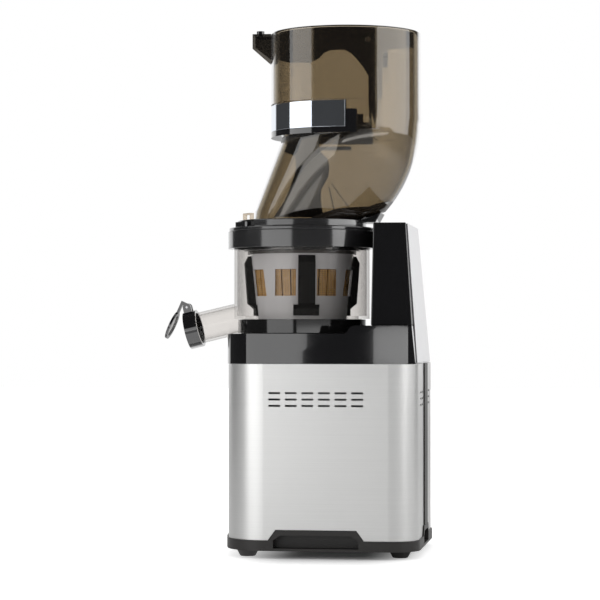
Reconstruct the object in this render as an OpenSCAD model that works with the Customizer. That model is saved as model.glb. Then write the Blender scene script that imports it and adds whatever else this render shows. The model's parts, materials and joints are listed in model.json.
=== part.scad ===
// Cold press juicer with a wide smoked hopper, a clear juice drum and a steel motor base.
// X runs along the base: the juice spout points to -X and the upright panel stands at +X.
// Y runs across the base, Z is up, and the feet stand on Z = 0.
// The drum, the auger and the drive shaft share one upright axis, at X = axis_x.

/* [Frame] */
// Drum axis, from the middle of the juicer's whole length
axis_x = 7.5; // [0:0.1:20]

/* [Steel casing] */
// From the drum axis to the bowed end of the casing
case_left = 72.4; // [70:0.1:80]
// From the drum axis to the flat end of the casing
case_right = 126.7; // [122:0.1:140]
// Depth of the casing between its flat sides
case_depth = 196; // [188:1:220]
// Height of the casing sheet
case_height = 174; // [160:1:200]
// Thickness of the steel sheet
case_wall = 1.2; // [0.8:0.1:2]
// Bulge of the bowed end
case_bow = 6; // [3:0.5:8]
// Corner radius at the bowed end
corner_left = 40; // [30:1:45]
// Corner radius at the flat end
corner_right = 28; // [20:1:35]
// Vent slots in a row
vent_columns = 6; // [4:1:8]
// Rows of vent slots
vent_rows = 3; // [2:1:4]
// Length of one vent slot
vent_len = 12; // [8:0.5:14]
// Width of one vent slot
vent_wid = 2; // [1.5:0.1:3]
// Step from slot to slot along a row
vent_step_x = 16.5; // [15:0.5:18]
// Step from row to row
vent_step_z = 6.3; // [5:0.1:8]
// Depth of the vent rows below the casing's upper edge
vent_drop = 35; // [25:1:45]

/* [Plinth and feet] */
// Height of the rubber feet
foot_h = 7.5; // [5:0.5:12]
// Diameter of a foot at the floor
foot_low_d = 15; // [12:1:20]
// Diameter of a foot at the plinth
foot_top_d = 23; // [20:1:28]
// Distance of the left foot centres from the bowed end of the plinth
foot_inset_left = 29; // [26:1:34]
// Distance of the right foot centres from the flat end of the plinth
foot_inset_right = 20; // [16:1:30]
// Distance of the foot centres from the sides of the plinth
foot_inset_y = 29; // [20:1:40]
// Height of the plinth's side
plinth_h = 10.5; // [8:0.5:16]
// Overhang of plinth and deck past the casing
overhang = 1.5; // [1:0.1:3]
// Wall of the plinth
plinth_wall = 3; // [2:0.5:4]
// Width of the side grips, outside their arch
grip_len = 95; // [80:1:110]
// Width of the end grip, outside its arch
grip_end_len = 62; // [50:1:80]
// Rise of the grip arch above the plinth
grip_rise = 10; // [8:0.5:14]
// Slope run of each end of the arch
grip_slope = 7.5; // [5:0.5:10]
// Frame thickness of the arch
grip_frame = 5; // [4:0.5:6]
// Depth of the finger recess
grip_depth = 13; // [10:0.5:16]

/* [Deck and tower] */
// Height of the deck at the drum
deck_h = 30; // [26:1:36]
// Extra height of the deck under the tower
deck_step = 8; // [5:0.5:12]
// Where the deck starts to rise, from the drum axis
deck_step_x = 53.6; // [50:0.1:56]
// Length of the rise
deck_step_len = 12.4; // [8:0.1:16]
// Wall of deck and tower
shell_wall = 3; // [2:0.5:4]
// Height of the tower above the raised deck
tower_h = 103.3; // [95:0.1:110]
// Face of the tower towards the drum, from the drum axis
tower_x = 80; // [79.5:0.1:84]
// Half width of the tower at its top
tower_top_y = 60; // [52:1:64]
// Half width of the tower at its foot
tower_foot_y = 82; // [72:1:88]
// Thickness of the front plate
plate_t = 1.6; // [1:0.1:2.5]
// Lean of the front plate over its height
plate_lean = 11.4; // [6:0.1:14]
// Half width of the front plate at its top
plate_top_y = 56; // [48:1:58]
// Half width of the front plate at its foot
plate_foot_y = 72; // [64:1:76]
// Width of the dark strip on the flat end
strip_w = 32; // [24:1:40]

/* [Drum] */
// Outer radius of the clear drum
drum_r = 69.8; // [68:0.1:71]
// Wall of the drum
drum_wall = 3; // [2.5:0.1:3.5]
// Height of the drum's shoulder above the deck
drum_lift_h = 15.2; // [14:0.1:18]
// Drop from the tower's top to the drum's top
drum_drop = 11.1; // [8:0.1:16]
// Outer radius of the black drum base
base_ring_r = 66; // [64.5:0.1:66.5]
// Outer radius of the drum's nested lower part
nest_r = 61.6; // [60:0.1:62]
// Radius of the hole in the drum floor
floor_hole_r = 16; // [15:0.5:17]

/* [Juice spout] */
// Outer diameter of the spout tube
spout_d = 32; // [28:0.5:33]
// Wall of the spout tube
spout_wall = 2.5; // [2:0.1:3]
// Fall of the spout below level, in degrees
spout_fall = 13.2; // [8:0.2:16]
// Height of the spout axis above the deck where it leaves the drum
spout_rise = 14.7; // [14:0.1:17]
// Length of the spout from the drum's wall to its mouth
spout_len = 50.2; // [45:0.1:60]
// Outer diameter of the black spout collar
collar_d = 38.6; // [37:0.1:41]
// Length of the spout collar
collar_len = 12.5; // [10:0.5:16]
// Opening angle of the cap as photographed, in degrees
cap_open = 37.7; // [20:0.1:60]
// Diameter of the cap's hinge pin
cap_pin_d = 2.4; // [2:0.1:3]
// Diameter of the clear cap
cap_d = 26.4; // [26:0.1:30]
// Thickness of the clear cap
cap_t = 2; // [1.5:0.1:3]

/* [Strainer, wipers and auger] */
// Radius of the wiper frame at its top
frame_top_r = 54; // [53:0.1:55]
// Radius of the wiper frame at its foot
frame_foot_r = 47.5; // [46.5:0.1:48.5]
// Wall of the wiper frame
frame_wall = 1.8; // [1.5:0.1:2]
// Outer radius of the wiper blades
blade_r = 59.5; // [58.5:0.1:60.5]
// Width of a wiper blade
blade_w = 17; // [12:0.5:20]
// Wall of the strainer
strainer_wall = 1.5; // [1.2:0.1:2]
// Slots round the strainer
strainer_slots = 32; // [16:4:40]
// Core radius of the auger
auger_core_r = 17; // [15:0.5:20]
// Pitch of the auger's flight
auger_pitch = 26; // [20:1:34]
// Turns of the auger's flight
auger_turns = 1.9; // [1:0.1:2]
// Thickness of the auger's flight
flight_t = 4.5; // [3:0.1:6]

/* [Lid] */
// Outer radius of the lock ring
ring_r = 76; // [75.5:0.1:78]
// Height of the lock ring
ring_h = 17.2; // [15:0.1:20]
// Radius of the lid's upper tier
tier_r = 66.5; // [64:0.1:68]
// Height of the lid above the lock ring
lid_h = 11.5; // [10:0.5:14]
// Radius of the feed throat through the lid
throat_r = 42; // [38:0.5:44]
// Number of bayonet lugs on the drum
lug_count = 3; // [2:1:4]
// Turn that unlocks the lid, in degrees
lid_turn = 35; // [25:1:45]

/* [Hopper] */
// Hopper cup axis, from the drum axis
cup_x = 45.7; // [42:0.1:48]
// Outer radius of the hopper cup
cup_r = 77; // [74:0.1:80]
// Height of the hopper rim above the lid
hopper_h = 192; // [180:1:205]
// Height of the cup's ledge above the lid
ledge_h = 88.7; // [82:0.1:94]
// Wall of the hopper
hopper_wall = 4; // [3.6:0.1:4.5]
// Left wall of the chute at the lid, from the drum axis
chute_left = 51.9; // [48:0.1:54]
// Lean of the chute's left wall, in mm per mm
chute_slope = 0.383; // [0.3:0.005:0.45]
// Radius of the bend in the chute's right wall
bend_r = 138; // [125:1:150]
// Half width of the chute at the lid
chute_half_y = 52; // [46:0.5:56]
// Height of the chrome band
band_h = 26.5; // [20:0.5:30]
// Thickness of the chrome band
band_t = 0.9; // [0.6:0.1:1]
// Where the chrome band ends, in degrees past the widest point
band_end = 6; // [2:0.5:12]
// Where the black carrier ends, in degrees past the widest point
carrier_end = 15; // [13:0.5:20]

/* [Feed gate] */
// Height of the gate frame below the rim
gate_frame_h = 31.5; // [26:0.5:36]
// Wall of the gate frame
gate_frame_wall = 2.5; // [2:0.1:3]
// Gate hinge, from the cup axis
gate_x = 30; // [28:0.5:34]
// Length of the gate below its hinge
gate_len = 94; // [80:1:96]
// Half width of the gate
gate_half_w = 45; // [35:1:48]
// Thickness of the gate
gate_t = 2.5; // [2:0.1:3]
// Diameter of the gate's hinge pin
gate_pin_d = 5; // [4:0.1:6]

/* [Drive] */
// Motor axis, from the drum axis
motor_x = 60; // [56:0.5:66]
// Radius of the motor can
motor_r = 36; // [32:0.5:40]
// Length of the motor can
motor_len = 88; // [70:1:95]
// Radius of the motor shaft
motor_shaft_r = 4; // [3.5:0.1:4.5]
// Radius of the layshaft
lay_shaft_r = 5; // [4:0.1:6]
// Radius of the drive shaft in its bearings
drive_r = 10; // [9:0.1:11]
// Width across the flats of the drive shaft's hexagon
hex_flats = 14; // [12:0.2:16]
// Height of the hexagon above the deck
hex_h = 38; // [30:1:45]
// Module of the first gear pair
mod_1 = 1; // [1:0.05:1.1]
// Module of the second gear pair
mod_2 = 1.5; // [1.4:0.05:1.55]
// Teeth of each driving pinion
pinion_teeth = 14; // [13:1:15]
// Teeth of each driven wheel
wheel_teeth = 58; // [56:1:60]
// Face width of the first gear pair
face_1 = 9; // [7:0.5:11]
// Face width of the second gear pair
face_2 = 13; // [10:0.5:15]
// Module of the gears under the strainer
mod_3 = 1.5; // [1.45:0.01:1.52]
// Teeth of the auger's gear
auger_teeth = 26; // [26:2:26]
// Teeth of the idler gear
idler_teeth = 15; // [15:2:15]
// Backlash between gear teeth
backlash = 0.25; // [0.2:0.05:0.4]

/* [Controls and power] */
// Rocker switch centre, from the drum axis
switch_x = 27; // [10:1:50]
// Height of the rocker switch centre
switch_z = 108; // [90:1:120]
// Length of the rocker
rocker_len = 26; // [22:0.5:30]
// Width of the rocker
rocker_wid = 18; // [14:0.5:22]
// Mains inlet centre, from the drum axis
inlet_x = 27; // [10:1:50]
// Height of the mains inlet centre
inlet_z = 62; // [50:1:70]

/* [Fits] */
// Running clearance round shafts and pins
run_gap = 0.06; // [0.03:0.01:0.1]
// Gap between pieces that seat on each other
seat_gap = 0.3; // [0.2:0.05:0.5]

/* [Hidden] */
$fn = 96;
tiny = 0.01;
deep = 400;

// Heights
z_case = foot_h + plinth_h;
z_case_top = z_case + case_height;
z_deck = z_case_top + deck_h;
z_high = z_deck + deck_step;
z_tower = z_high + tower_h;
z_shoulder = z_deck + drum_lift_h;
z_drum_top = z_tower - drum_drop;
ring_cap = 4;
z_ring_top = z_drum_top + seat_gap + ring_cap;
z_ring = z_ring_top - ring_h;
z_lid = z_ring_top + lid_h;
z_chute = z_lid + seat_gap;
z_ledge = z_lid + ledge_h;
z_rim = z_lid + hopper_h;

// Base outline: two corner circles, a bowed end that meets them, and a flat end
half_d = case_depth / 2;
bow_y = half_d - corner_left;
bow_r = (bow_y * bow_y + case_bow * case_bow) / (2 * case_bow);
bow_x = bow_r - case_left;
left_x = bow_x - sqrt(pow(bow_r - corner_left, 2) - bow_y * bow_y);
right_x = case_right - corner_right;

module base_outline(grow) {
  touch_y = bow_y * (bow_r + grow) / (bow_r - corner_left);
  intersection() {
    translate([bow_x, 0]) circle(r = bow_r + grow, $fn = 360);
    translate([-case_left - grow, -touch_y]) square([case_left + grow, 2 * touch_y]);
  }
  for (side = [-1, 1]) {
    translate([left_x, side * bow_y]) circle(r = corner_left + grow);
    translate([right_x, side * (half_d - corner_right)]) circle(r = corner_right + grow);
  }
  translate([left_x, -half_d - grow]) square([right_x - left_x, case_depth + 2 * grow]);
  translate([left_x, corner_right - half_d])
    square([case_right + grow - left_x, case_depth - 2 * corner_right]);
}

module base_prism(grow, z_low, z_high_end) {
  translate([0, 0, z_low]) linear_extrude(z_high_end - z_low) base_outline(grow);
}

// A shape drawn in X and Z, given thickness along Y
module side_prism(y_low, y_high) {
  translate([0, y_high, 0]) rotate([90, 0, 0]) linear_extrude(y_high - y_low) children();
}

// A shape drawn in Y and Z, given thickness along X
module end_prism(x_low, x_high) {
  translate([x_low, 0, 0]) rotate([90, 0, 90]) linear_extrude(x_high - x_low) children();
}

module tube(r_out, r_in, z_low, z_high_end) {
  translate([0, 0, z_low]) difference() {
    cylinder(r = r_out, h = z_high_end - z_low);
    translate([0, 0, -1]) cylinder(r = r_in, h = z_high_end - z_low + 2);
  }
}

module slot(len, wid) {
  square([len - wid, wid], center = true);
  for (side = [-1, 1]) translate([side * (len - wid) / 2, 0]) circle(d = wid, $fn = 24);
}

module rounded(len, wid, r) {
  square([len - 2 * r, wid], center = true);
  square([len, wid - 2 * r], center = true);
  for (a = [-1, 1], b = [-1, 1])
    translate([a * (len / 2 - r), b * (wid / 2 - r)]) circle(r = r, $fn = 32);
}

// ---------------------------------------------------------------- motor base
case_mid_x = (case_right - case_left) / 2;
vent_z = z_case_top - vent_drop;
function spread(count, step) = [for (i = [0:count - 1]) (i - (count - 1) / 2) * step];

module vent_field(columns) {
  for (x = spread(columns, vent_step_x), z = spread(vent_rows, vent_step_z))
    translate([x, z]) slot(vent_len, vent_wid);
}

end_vent_columns = 2;
end_vent_y = strip_w / 2 + vent_step_x * end_vent_columns / 2 + vent_len / 2;

// The trapezoid of a grip arch, shrunk all round for the recess inside it
module grip_shape(len, inset, z_low) {
  half = len / 2 - inset;
  top = z_case + grip_rise - inset;
  slope = grip_slope;
  polygon([[-half, z_low], [half, z_low], [half, z_case], [half - slope, top],
    [-half + slope, top], [-half, z_case]]);
}

grip_x = case_mid_x;
wide_side = half_d + overhang;
wide_end = case_right + overhang;

module steel_casing() {
  color("silver") translate([axis_x, 0, 0]) difference() {
    base_prism(0, z_case, z_case_top);
    base_prism(-case_wall, z_case - 1, z_case_top + 1);
    side_prism(-half_d - 1, half_d + 1) translate([case_mid_x, vent_z]) vent_field(vent_columns);
    for (side = [-1, 1])
      end_prism(right_x, case_right + 1)
        translate([side * end_vent_y, vent_z]) vent_field(end_vent_columns);
    side_prism(-half_d - 1, half_d + 1)
      translate([grip_x, 0]) grip_shape(grip_len, -seat_gap, z_case - 1);
    end_prism(right_x, case_right + 1) grip_shape(grip_end_len, -seat_gap, z_case - 1);
    side_prism(bow_y, half_d + 1) translate([switch_x, switch_z])
      rounded(bezel_len - bezel_lip, bezel_wid - bezel_lip, bezel_r);
    side_prism(bow_y, half_d + 1) translate([inlet_x, inlet_z])
      rounded(inlet_len + 2 * seat_gap, inlet_wid + 2 * seat_gap, bezel_r);
  }
}

grip_top_z = z_case + grip_rise;
grip_low_z = foot_h + plinth_wall - 0.5;

foot_xs = [-case_left - overhang + foot_inset_left, case_right + overhang - foot_inset_right];
foot_ys = [-wide_side + foot_inset_y, wide_side - foot_inset_y];
screw_r = 2;
screw_head_r = 4;
screw_head_h = 2.5;
screw_inset = 1.5;
boss_r = 6;
boss_h = 9;

module at_feet() {
  for (x = foot_xs, y = foot_ys) translate([x, y, 0]) children();
}

module plinth() {
  color("#26272a") translate([axis_x, 0, 0]) difference() {
    union() {
      difference() {
        base_prism(overhang, foot_h, z_case - seat_gap / 3);
        base_prism(-plinth_wall, foot_h + plinth_wall, z_case);
      }
      at_feet() translate([0, 0, foot_h]) cylinder(r = boss_r, h = boss_h);
      side_prism(-wide_side, -wide_side + grip_depth + plinth_wall)
        translate([grip_x, 0]) grip_shape(grip_len, 0, foot_h);
      side_prism(wide_side - grip_depth - plinth_wall, wide_side)
        translate([grip_x, 0]) grip_shape(grip_len, 0, foot_h);
      end_prism(wide_end - grip_depth - plinth_wall, wide_end)
        grip_shape(grip_end_len, 0, foot_h);
    }
    side_prism(-wide_side - 1, -wide_side + grip_depth)
      translate([grip_x, 0]) grip_shape(grip_len, grip_frame, grip_low_z);
    side_prism(wide_side - grip_depth, wide_side + 1)
      translate([grip_x, 0]) grip_shape(grip_len, grip_frame, grip_low_z);
    end_prism(wide_end - grip_depth, wide_end + 1)
      grip_shape(grip_end_len, grip_frame, grip_low_z);
    at_feet() translate([0, 0, -1]) cylinder(r = screw_r + run_gap, h = deep);
  }
}

module rubber_feet() {
  color("#1a1a1b") translate([axis_x, 0, 0]) at_feet() difference() {
    cylinder(d1 = foot_low_d, d2 = foot_top_d, h = foot_h);
    translate([0, 0, -1]) cylinder(r = screw_r + run_gap, h = foot_h + 2);
    translate([0, 0, -1]) cylinder(r = screw_head_r + seat_gap, h = screw_inset + screw_head_h + 1);
  }
}

module foot_screws() {
  color("#8a8c90") translate([axis_x, 0, 0]) at_feet() {
    translate([0, 0, screw_inset]) cylinder(r = screw_head_r, h = screw_head_h);
    translate([0, 0, screw_inset]) cylinder(r = screw_r, h = foot_h + boss_h - screw_inset - 1);
  }
}

// The lean of the panel end: everything that lies "inset" inside the front plate's face
lean_low_x = case_right - 0.5;
function lean_x(z) = lean_low_x - plate_lean * (z - z_case_top) / (z_tower - z_case_top);

module lean_keep(inset) {
  side_prism(-deep / 2, deep / 2) polygon([
    [-deep, z_case_top - deck_h], [lean_x(z_case_top - deck_h) - inset, z_case_top - deck_h],
    [lean_x(z_tower + 1) - inset, z_tower + 1], [-deep, z_tower + 1]]);
}

// The deck's top line steps up to the tower in an S of two equal arcs
step_r = (deck_step_len * deck_step_len + deck_step * deck_step) / (4 * deck_step);
step_sweep = asin(deck_step_len / 2 / step_r);
step_points = 8;

module step_cut(drop) {
  low_arc = [for (i = [0:step_points]) let (a = step_sweep * i / step_points)
    [deck_step_x + step_r * sin(a), z_deck + step_r * (1 - cos(a))]];
  high_arc = [for (i = [0:step_points]) let (a = step_sweep * (1 - i / step_points))
    [deck_step_x + deck_step_len - step_r * sin(a), z_high - step_r * (1 - cos(a))]];
  translate([0, -drop]) polygon(concat([[-deep, z_deck]], low_arc, high_arc,
    [[deep, z_high], [deep, z_high + deep], [-deep, z_high + deep]]));
}

well_r = base_ring_r + 1.2;
shaft_hole_r = drive_r + 5;
post_r = 6;
saddle_gap = 1.5;
notch_half = 22;
notch_in = 10;
notch_drop = 16;

module spout_bar(r, from, to) {
  translate([-drum_r, 0, z_deck + spout_rise]) rotate([0, -90 - spout_fall, 0])
    translate([0, 0, from]) cylinder(r = r, h = to - from);
}

module deck_housing() {
  color("#0c0c0e") translate([axis_x, 0, 0]) difference() {
    intersection() {
      difference() {
        base_prism(overhang, z_case_top + seat_gap / 3, z_high);
        intersection() {
          base_prism(overhang - shell_wall, z_case_top - 1, z_deck - shell_wall);
          lean_keep(plate_t + shell_wall);
        }
        intersection() {
          base_prism(overhang - shell_wall, z_deck - shell_wall - tiny, z_high - shell_wall);
          lean_keep(plate_t + shell_wall);
          translate([deck_step_x + deck_step_len + shell_wall, -half_d, 0])
            cube([deep, case_depth, deep]);
        }
      }
      lean_keep(plate_t + seat_gap / 3);
    }
    side_prism(-wide_side - 1, wide_side + 1) step_cut(0);
    translate([0, 0, z_deck]) cylinder(r = well_r, h = deck_step + 1);
    translate([0, 0, z_case_top]) cylinder(r = shaft_hole_r, h = deep);
    spout_bar(spout_d / 2 + saddle_gap, -drum_r / 2, spout_len);
    translate([-notch_half, wide_side - notch_in, z_deck - notch_drop])
      cube([2 * notch_half, notch_in + 1, notch_drop + 1]);
    translate([cable_x, 0, z_case_top]) cylinder(r = cable_r, h = deep);
  }
}

cable_x = tower_x + 14;
cable_r = 8;

module tower_shape(inset) {
  polygon([[-tower_foot_y + inset, z_high + (inset > 0 ? -1 : 0)],
    [tower_foot_y - inset, z_high + (inset > 0 ? -1 : 0)],
    [tower_top_y - inset, z_tower - inset], [-tower_top_y + inset, z_tower - inset]]);
}

module tower_cover() {
  color("#0c0c0e") translate([axis_x, 0, 0]) difference() {
    intersection() {
      end_prism(tower_x, case_right) tower_shape(0);
      lean_keep(plate_t + seat_gap / 3);
    }
    intersection() {
      end_prism(tower_x + shell_wall, case_right) tower_shape(shell_wall);
      lean_keep(plate_t + shell_wall);
    }
  }
}

module front_plate() {
  color("#d9dadc") translate([axis_x, 0, 0]) intersection() {
    end_prism(tower_x, deep) polygon([[-plate_foot_y, z_case_top + 1], [plate_foot_y, z_case_top + 1],
      [plate_top_y, z_tower - 1], [-plate_top_y, z_tower - 1]]);
    difference() {
      lean_keep(0);
      lean_keep(plate_t);
    }
  }
}

module end_strip() {
  color("#17181a") translate([axis_x, 0, 0])
    end_prism(case_right + tiny, wide_end)
      polygon([[-strip_w / 2, grip_top_z + seat_gap], [strip_w / 2, grip_top_z + seat_gap],
        [strip_w / 2, z_case_top], [-strip_w / 2, z_case_top]]);
}

// ---------------------------------------------------------------- motor and gears
// Three parallel shafts: motor, layshaft and drive shaft, placed by the gears' centre distances
reach_1 = mod_1 * (pinion_teeth + wheel_teeth) / 2;
reach_2 = mod_2 * (pinion_teeth + wheel_teeth) / 2;
lay_x = (reach_2 * reach_2 - reach_1 * reach_1 + motor_x * motor_x) / (2 * motor_x);
lay_y = sqrt(reach_2 * reach_2 - lay_x * lay_x);
to_lay = atan2(lay_y, lay_x - motor_x);
to_drive = atan2(-lay_y, -lay_x);

pressure = 20;
function inv(a) = tan(a) * 180 / PI - a;
function base_of(n, m) = m * n / 2 * cos(pressure);
// Half angle of a tooth at radius r
function flank(n, m, r, play) =
  90 / n + inv(pressure) - inv(acos(min(1, base_of(n, m) / r))) - play / (m * n) * 180 / PI;
function gear_points(n, m, tip, root, play) = let (
  r_tip = m * n / 2 + tip, r_root = m * n / 2 - root, r_base = max(r_root, base_of(n, m)),
  radii = [r_root, r_base, (2 * r_base + r_tip) / 3, (r_base + 2 * r_tip) / 3, r_tip],
  count = len(radii))
  [for (i = [0:n - 1], s = [-1, 1], k = [0:count - 1])
    let (r = radii[s < 0 ? k : count - 1 - k],
      a = i * 360 / n + s * flank(n, m, max(r, r_base), play))
    r * [cos(a), sin(a)]];

tip_share = 0.8;
root_share = 1.25;

module gear(n, m, face, play = backlash) {
  linear_extrude(face) polygon(gear_points(n, m, tip_share * m, root_share * m, play));
}

z_box = z_deck - 76;
box_wall = 3;
z_pair_1 = z_box + box_wall + 3;
z_pair_2 = z_pair_1 + face_1 + 3;
z_box_lid = z_pair_2 + face_2 + 3;
box_margin = 5;
bearing_t = 5;
bearing_h = 5;
shaft_inset = 0.5;
fan_r = 30;
fan_h = 12;
z_motor = z_box - motor_len;
z_fan = z_motor - fan_h - 4;
can_wall = 2;
rotor_r = 19;
air_gap = 0.8;

module at_motor() { translate([motor_x, 0, 0]) children(); }
module at_lay() { translate([lay_x, lay_y, 0]) children(); }

module box_outline(grow) {
  hull() {
    circle(r = mod_2 * wheel_teeth / 2 + mod_2 + box_margin + grow, $fn = 32);
    translate([motor_x, 0]) circle(r = motor_r + grow, $fn = 32);
    translate([lay_x, lay_y]) circle(r = mod_1 * wheel_teeth / 2 + box_margin + grow, $fn = 32);
  }
}

module bearing_holes(r_extra) {
  translate([0, 0, -1]) cylinder(r = drive_r + bearing_t + r_extra, h = deep);
  at_motor() translate([0, 0, -1]) cylinder(r = motor_shaft_r + bearing_t + r_extra, h = deep);
  at_lay() translate([0, 0, -1]) cylinder(r = lay_shaft_r + bearing_t + r_extra, h = deep);
}

module gearbox_pan() {
  color("#8d9095") translate([axis_x, 0, 0]) difference() {
    translate([0, 0, z_box]) linear_extrude(z_box_lid - z_box) box_outline(0);
    translate([0, 0, z_box + box_wall]) linear_extrude(deep) box_outline(-box_wall);
    bearing_holes(run_gap);
  }
}

post_far_x = motor_x + 22;
post_far_y = 16;
post_near_x = -34;
post_near_y = 26;

module lid_posts() {
  for (side = [-1, 1]) {
    translate([post_far_x, side * post_far_y, z_box_lid])
      cylinder(r = post_r, h = z_high - shell_wall - z_box_lid);
    translate([post_near_x, side * post_near_y, z_box_lid])
      cylinder(r = post_r, h = z_deck - shell_wall - z_box_lid);
  }
}

module gearbox_lid() {
  color("#a3a6aa") translate([axis_x, 0, 0]) difference() {
    union() {
      translate([0, 0, z_box_lid]) linear_extrude(bearing_h + 1) box_outline(0);
      lid_posts();
    }
    bearing_holes(run_gap);
  }
}

module bearing(r, z) {
  tube(r + bearing_t, r + run_gap, z, z + bearing_h);
}

module shaft_bearings() {
  color("#c8cacd") translate([axis_x, 0, 0]) {
    for (z = [z_box, z_box_lid]) {
      bearing(drive_r, z);
      at_lay() bearing(lay_shaft_r, z);
    }
    at_motor() bearing(motor_shaft_r, z_box);
  }
}

module motor_can() {
  color("#4a4d52") translate([axis_x, 0, 0]) at_motor() difference() {
    translate([0, 0, z_motor]) cylinder(r = motor_r, h = motor_len);
    translate([0, 0, z_motor + can_wall]) cylinder(r = motor_r - can_wall, h = motor_len);
    translate([0, 0, z_motor - 1]) cylinder(r = motor_shaft_r + seat_gap, h = deep);
  }
}

module motor_stator() {
  color("#9a4a22") translate([axis_x, 0, 0]) at_motor()
    tube(motor_r - can_wall, rotor_r + air_gap, z_motor + can_wall, z_motor + motor_len - 14);
}

module motor_rotor() {
  color("#b9bbbf") translate([axis_x, 0, 0]) at_motor() {
    translate([0, 0, z_fan - 2]) cylinder(r = motor_shaft_r, h = z_pair_1 + face_1 - z_fan + 2);
    translate([0, 0, z_motor + 8]) cylinder(r = rotor_r, h = motor_len - 28);
    translate([0, 0, z_pair_1]) rotate([0, 0, to_lay]) gear(pinion_teeth, mod_1, face_1);
  }
}

fan_blades = 8;

module cooling_fan() {
  color("#2b2d31") translate([axis_x, 0, 0]) at_motor() difference() {
    union() {
      translate([0, 0, z_fan]) cylinder(r = fan_r, h = 2);
      translate([0, 0, z_fan]) cylinder(r = motor_shaft_r + 4, h = fan_h);
      for (a = [0:360 / fan_blades:359])
        rotate([0, 0, a]) translate([0, -1, z_fan]) cube([fan_r - 1, 2, fan_h - 2]);
    }
    translate([0, 0, z_fan - 1]) cylinder(r = motor_shaft_r, h = fan_h + 2);
  }
}

module layshaft_gears() {
  color("#b9bbbf") translate([axis_x, 0, 0]) at_lay() {
    translate([0, 0, z_box + shaft_inset])
      cylinder(r = lay_shaft_r, h = z_box_lid + bearing_h - z_box - shaft_inset);
    translate([0, 0, z_pair_1]) rotate([0, 0, to_lay + 180 + 180 / wheel_teeth])
      gear(wheel_teeth, mod_1, face_1 - 1);
    translate([0, 0, z_pair_1 + face_1 - 1]) cylinder(r = lay_shaft_r + 1.5, h = 4);
    translate([0, 0, z_pair_2]) rotate([0, 0, to_drive]) gear(pinion_teeth, mod_2, face_2);
  }
}

module drive_shaft() {
  color("#b9bbbf") translate([axis_x, 0, 0]) {
    translate([0, 0, z_box + shaft_inset])
      cylinder(r = drive_r, h = z_deck - 1 - z_box - shaft_inset);
    translate([0, 0, z_pair_2 + 0.5]) rotate([0, 0, to_drive + 180 + 180 / wheel_teeth])
      gear(wheel_teeth, mod_2, face_2 - 1);
    translate([0, 0, z_deck - 2]) cylinder(r = hex_flats / 2 / cos(30), h = hex_h + 2, $fn = 6);
  }
}

module shaft_seal() {
  color("#2a2a2c") translate([axis_x, 0, 0])
    tube(shaft_hole_r - tiny, drive_r + run_gap, z_deck - shell_wall - 3, z_deck - 0.5);
}

board_len = 84;
board_h = 56;
board_t = 1.6;
board_y = half_d - 34;
board_post_r = 3;
board_post_in = 5;
relay_size = [26, 14, 22];
choke_size = [16, 8, 12];
capacitor_r = 9;
capacitor_h = 20;

// The board stands off the casing's far wall on four posts
module control_board() {
  color("#1f5a38") translate([axis_x + switch_x - board_len / 2, board_y, z_case + board_h - 6]) {
    cube([board_len, board_t, board_h]);
    for (x = [board_post_in, board_len - board_post_in], z = [board_post_in, board_h - board_post_in])
      translate([x, half_d - case_wall - tiny - board_y, z]) rotate([90, 0, 0])
        cylinder(r = board_post_r, h = half_d - case_wall - board_y - board_t);
    translate([board_len / 8, tiny - relay_size[1], board_h / 6]) cube(relay_size);
    translate([board_len / 8, tiny - choke_size[1], board_h * 0.7]) cube(choke_size);
    translate([board_len * 0.62, tiny, board_h * 0.36]) rotate([90, 0, 0])
      cylinder(r = capacitor_r, h = capacitor_h);
  }
}

inlet_len = 27;
inlet_wid = 20;
inlet_deep = 20;
bezel_len = 34;
bezel_wid = 26;
bezel_lip = 4;
bezel_r = 3;
bezel_t = 1.4;

module mains_inlet() {
  color("#151516") translate([axis_x, 0, 0]) difference() {
    union() {
      side_prism(half_d + tiny, half_d + bezel_t - tiny)
        translate([inlet_x, inlet_z]) rounded(inlet_len + 8, inlet_wid + 6, bezel_r);
      side_prism(half_d - inlet_deep - 3, half_d + bezel_t / 2)
        translate([inlet_x, inlet_z]) rounded(inlet_len, inlet_wid, bezel_r);
    }
    side_prism(half_d - inlet_deep, half_d + deep)
      translate([inlet_x, inlet_z]) rounded(inlet_len - 3, inlet_wid - 3, bezel_r - 1);
  }
}

module inlet_pins() {
  color("#c9a86a") translate([axis_x, 0, 0])
    for (p = [[-7, -2], [7, -2], [0, 3]])
      translate([inlet_x + p[0], half_d - 3, inlet_z + p[1]]) rotate([90, 0, 0])
        translate([-1, -2, 0]) cube([2, 4, inlet_deep - 3]);
}

rocker_r = 22;
pivot_in = 9.7;
pivot_r = 1.5;

module switch_bezel() {
  color("#151516") translate([axis_x, 0, 0]) difference() {
    union() {
      side_prism(half_d + tiny, half_d + bezel_t - tiny)
        translate([switch_x, switch_z]) rounded(bezel_len, bezel_wid, bezel_r);
      side_prism(half_d - inlet_deep, half_d + bezel_t / 2)
        translate([switch_x, switch_z]) rounded(rocker_len + 3, rocker_wid + 3, bezel_r);
    }
    side_prism(half_d - inlet_deep + 2, half_d + deep)
      translate([switch_x, switch_z]) square([rocker_len + 1, rocker_wid + 1], center = true);
    translate([switch_x, half_d - pivot_in, switch_z - deep / 2])
      cylinder(r = pivot_r + run_gap, h = deep / 2 + rocker_wid / 2 + 1.4, $fn = 24);
  }
}

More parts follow.
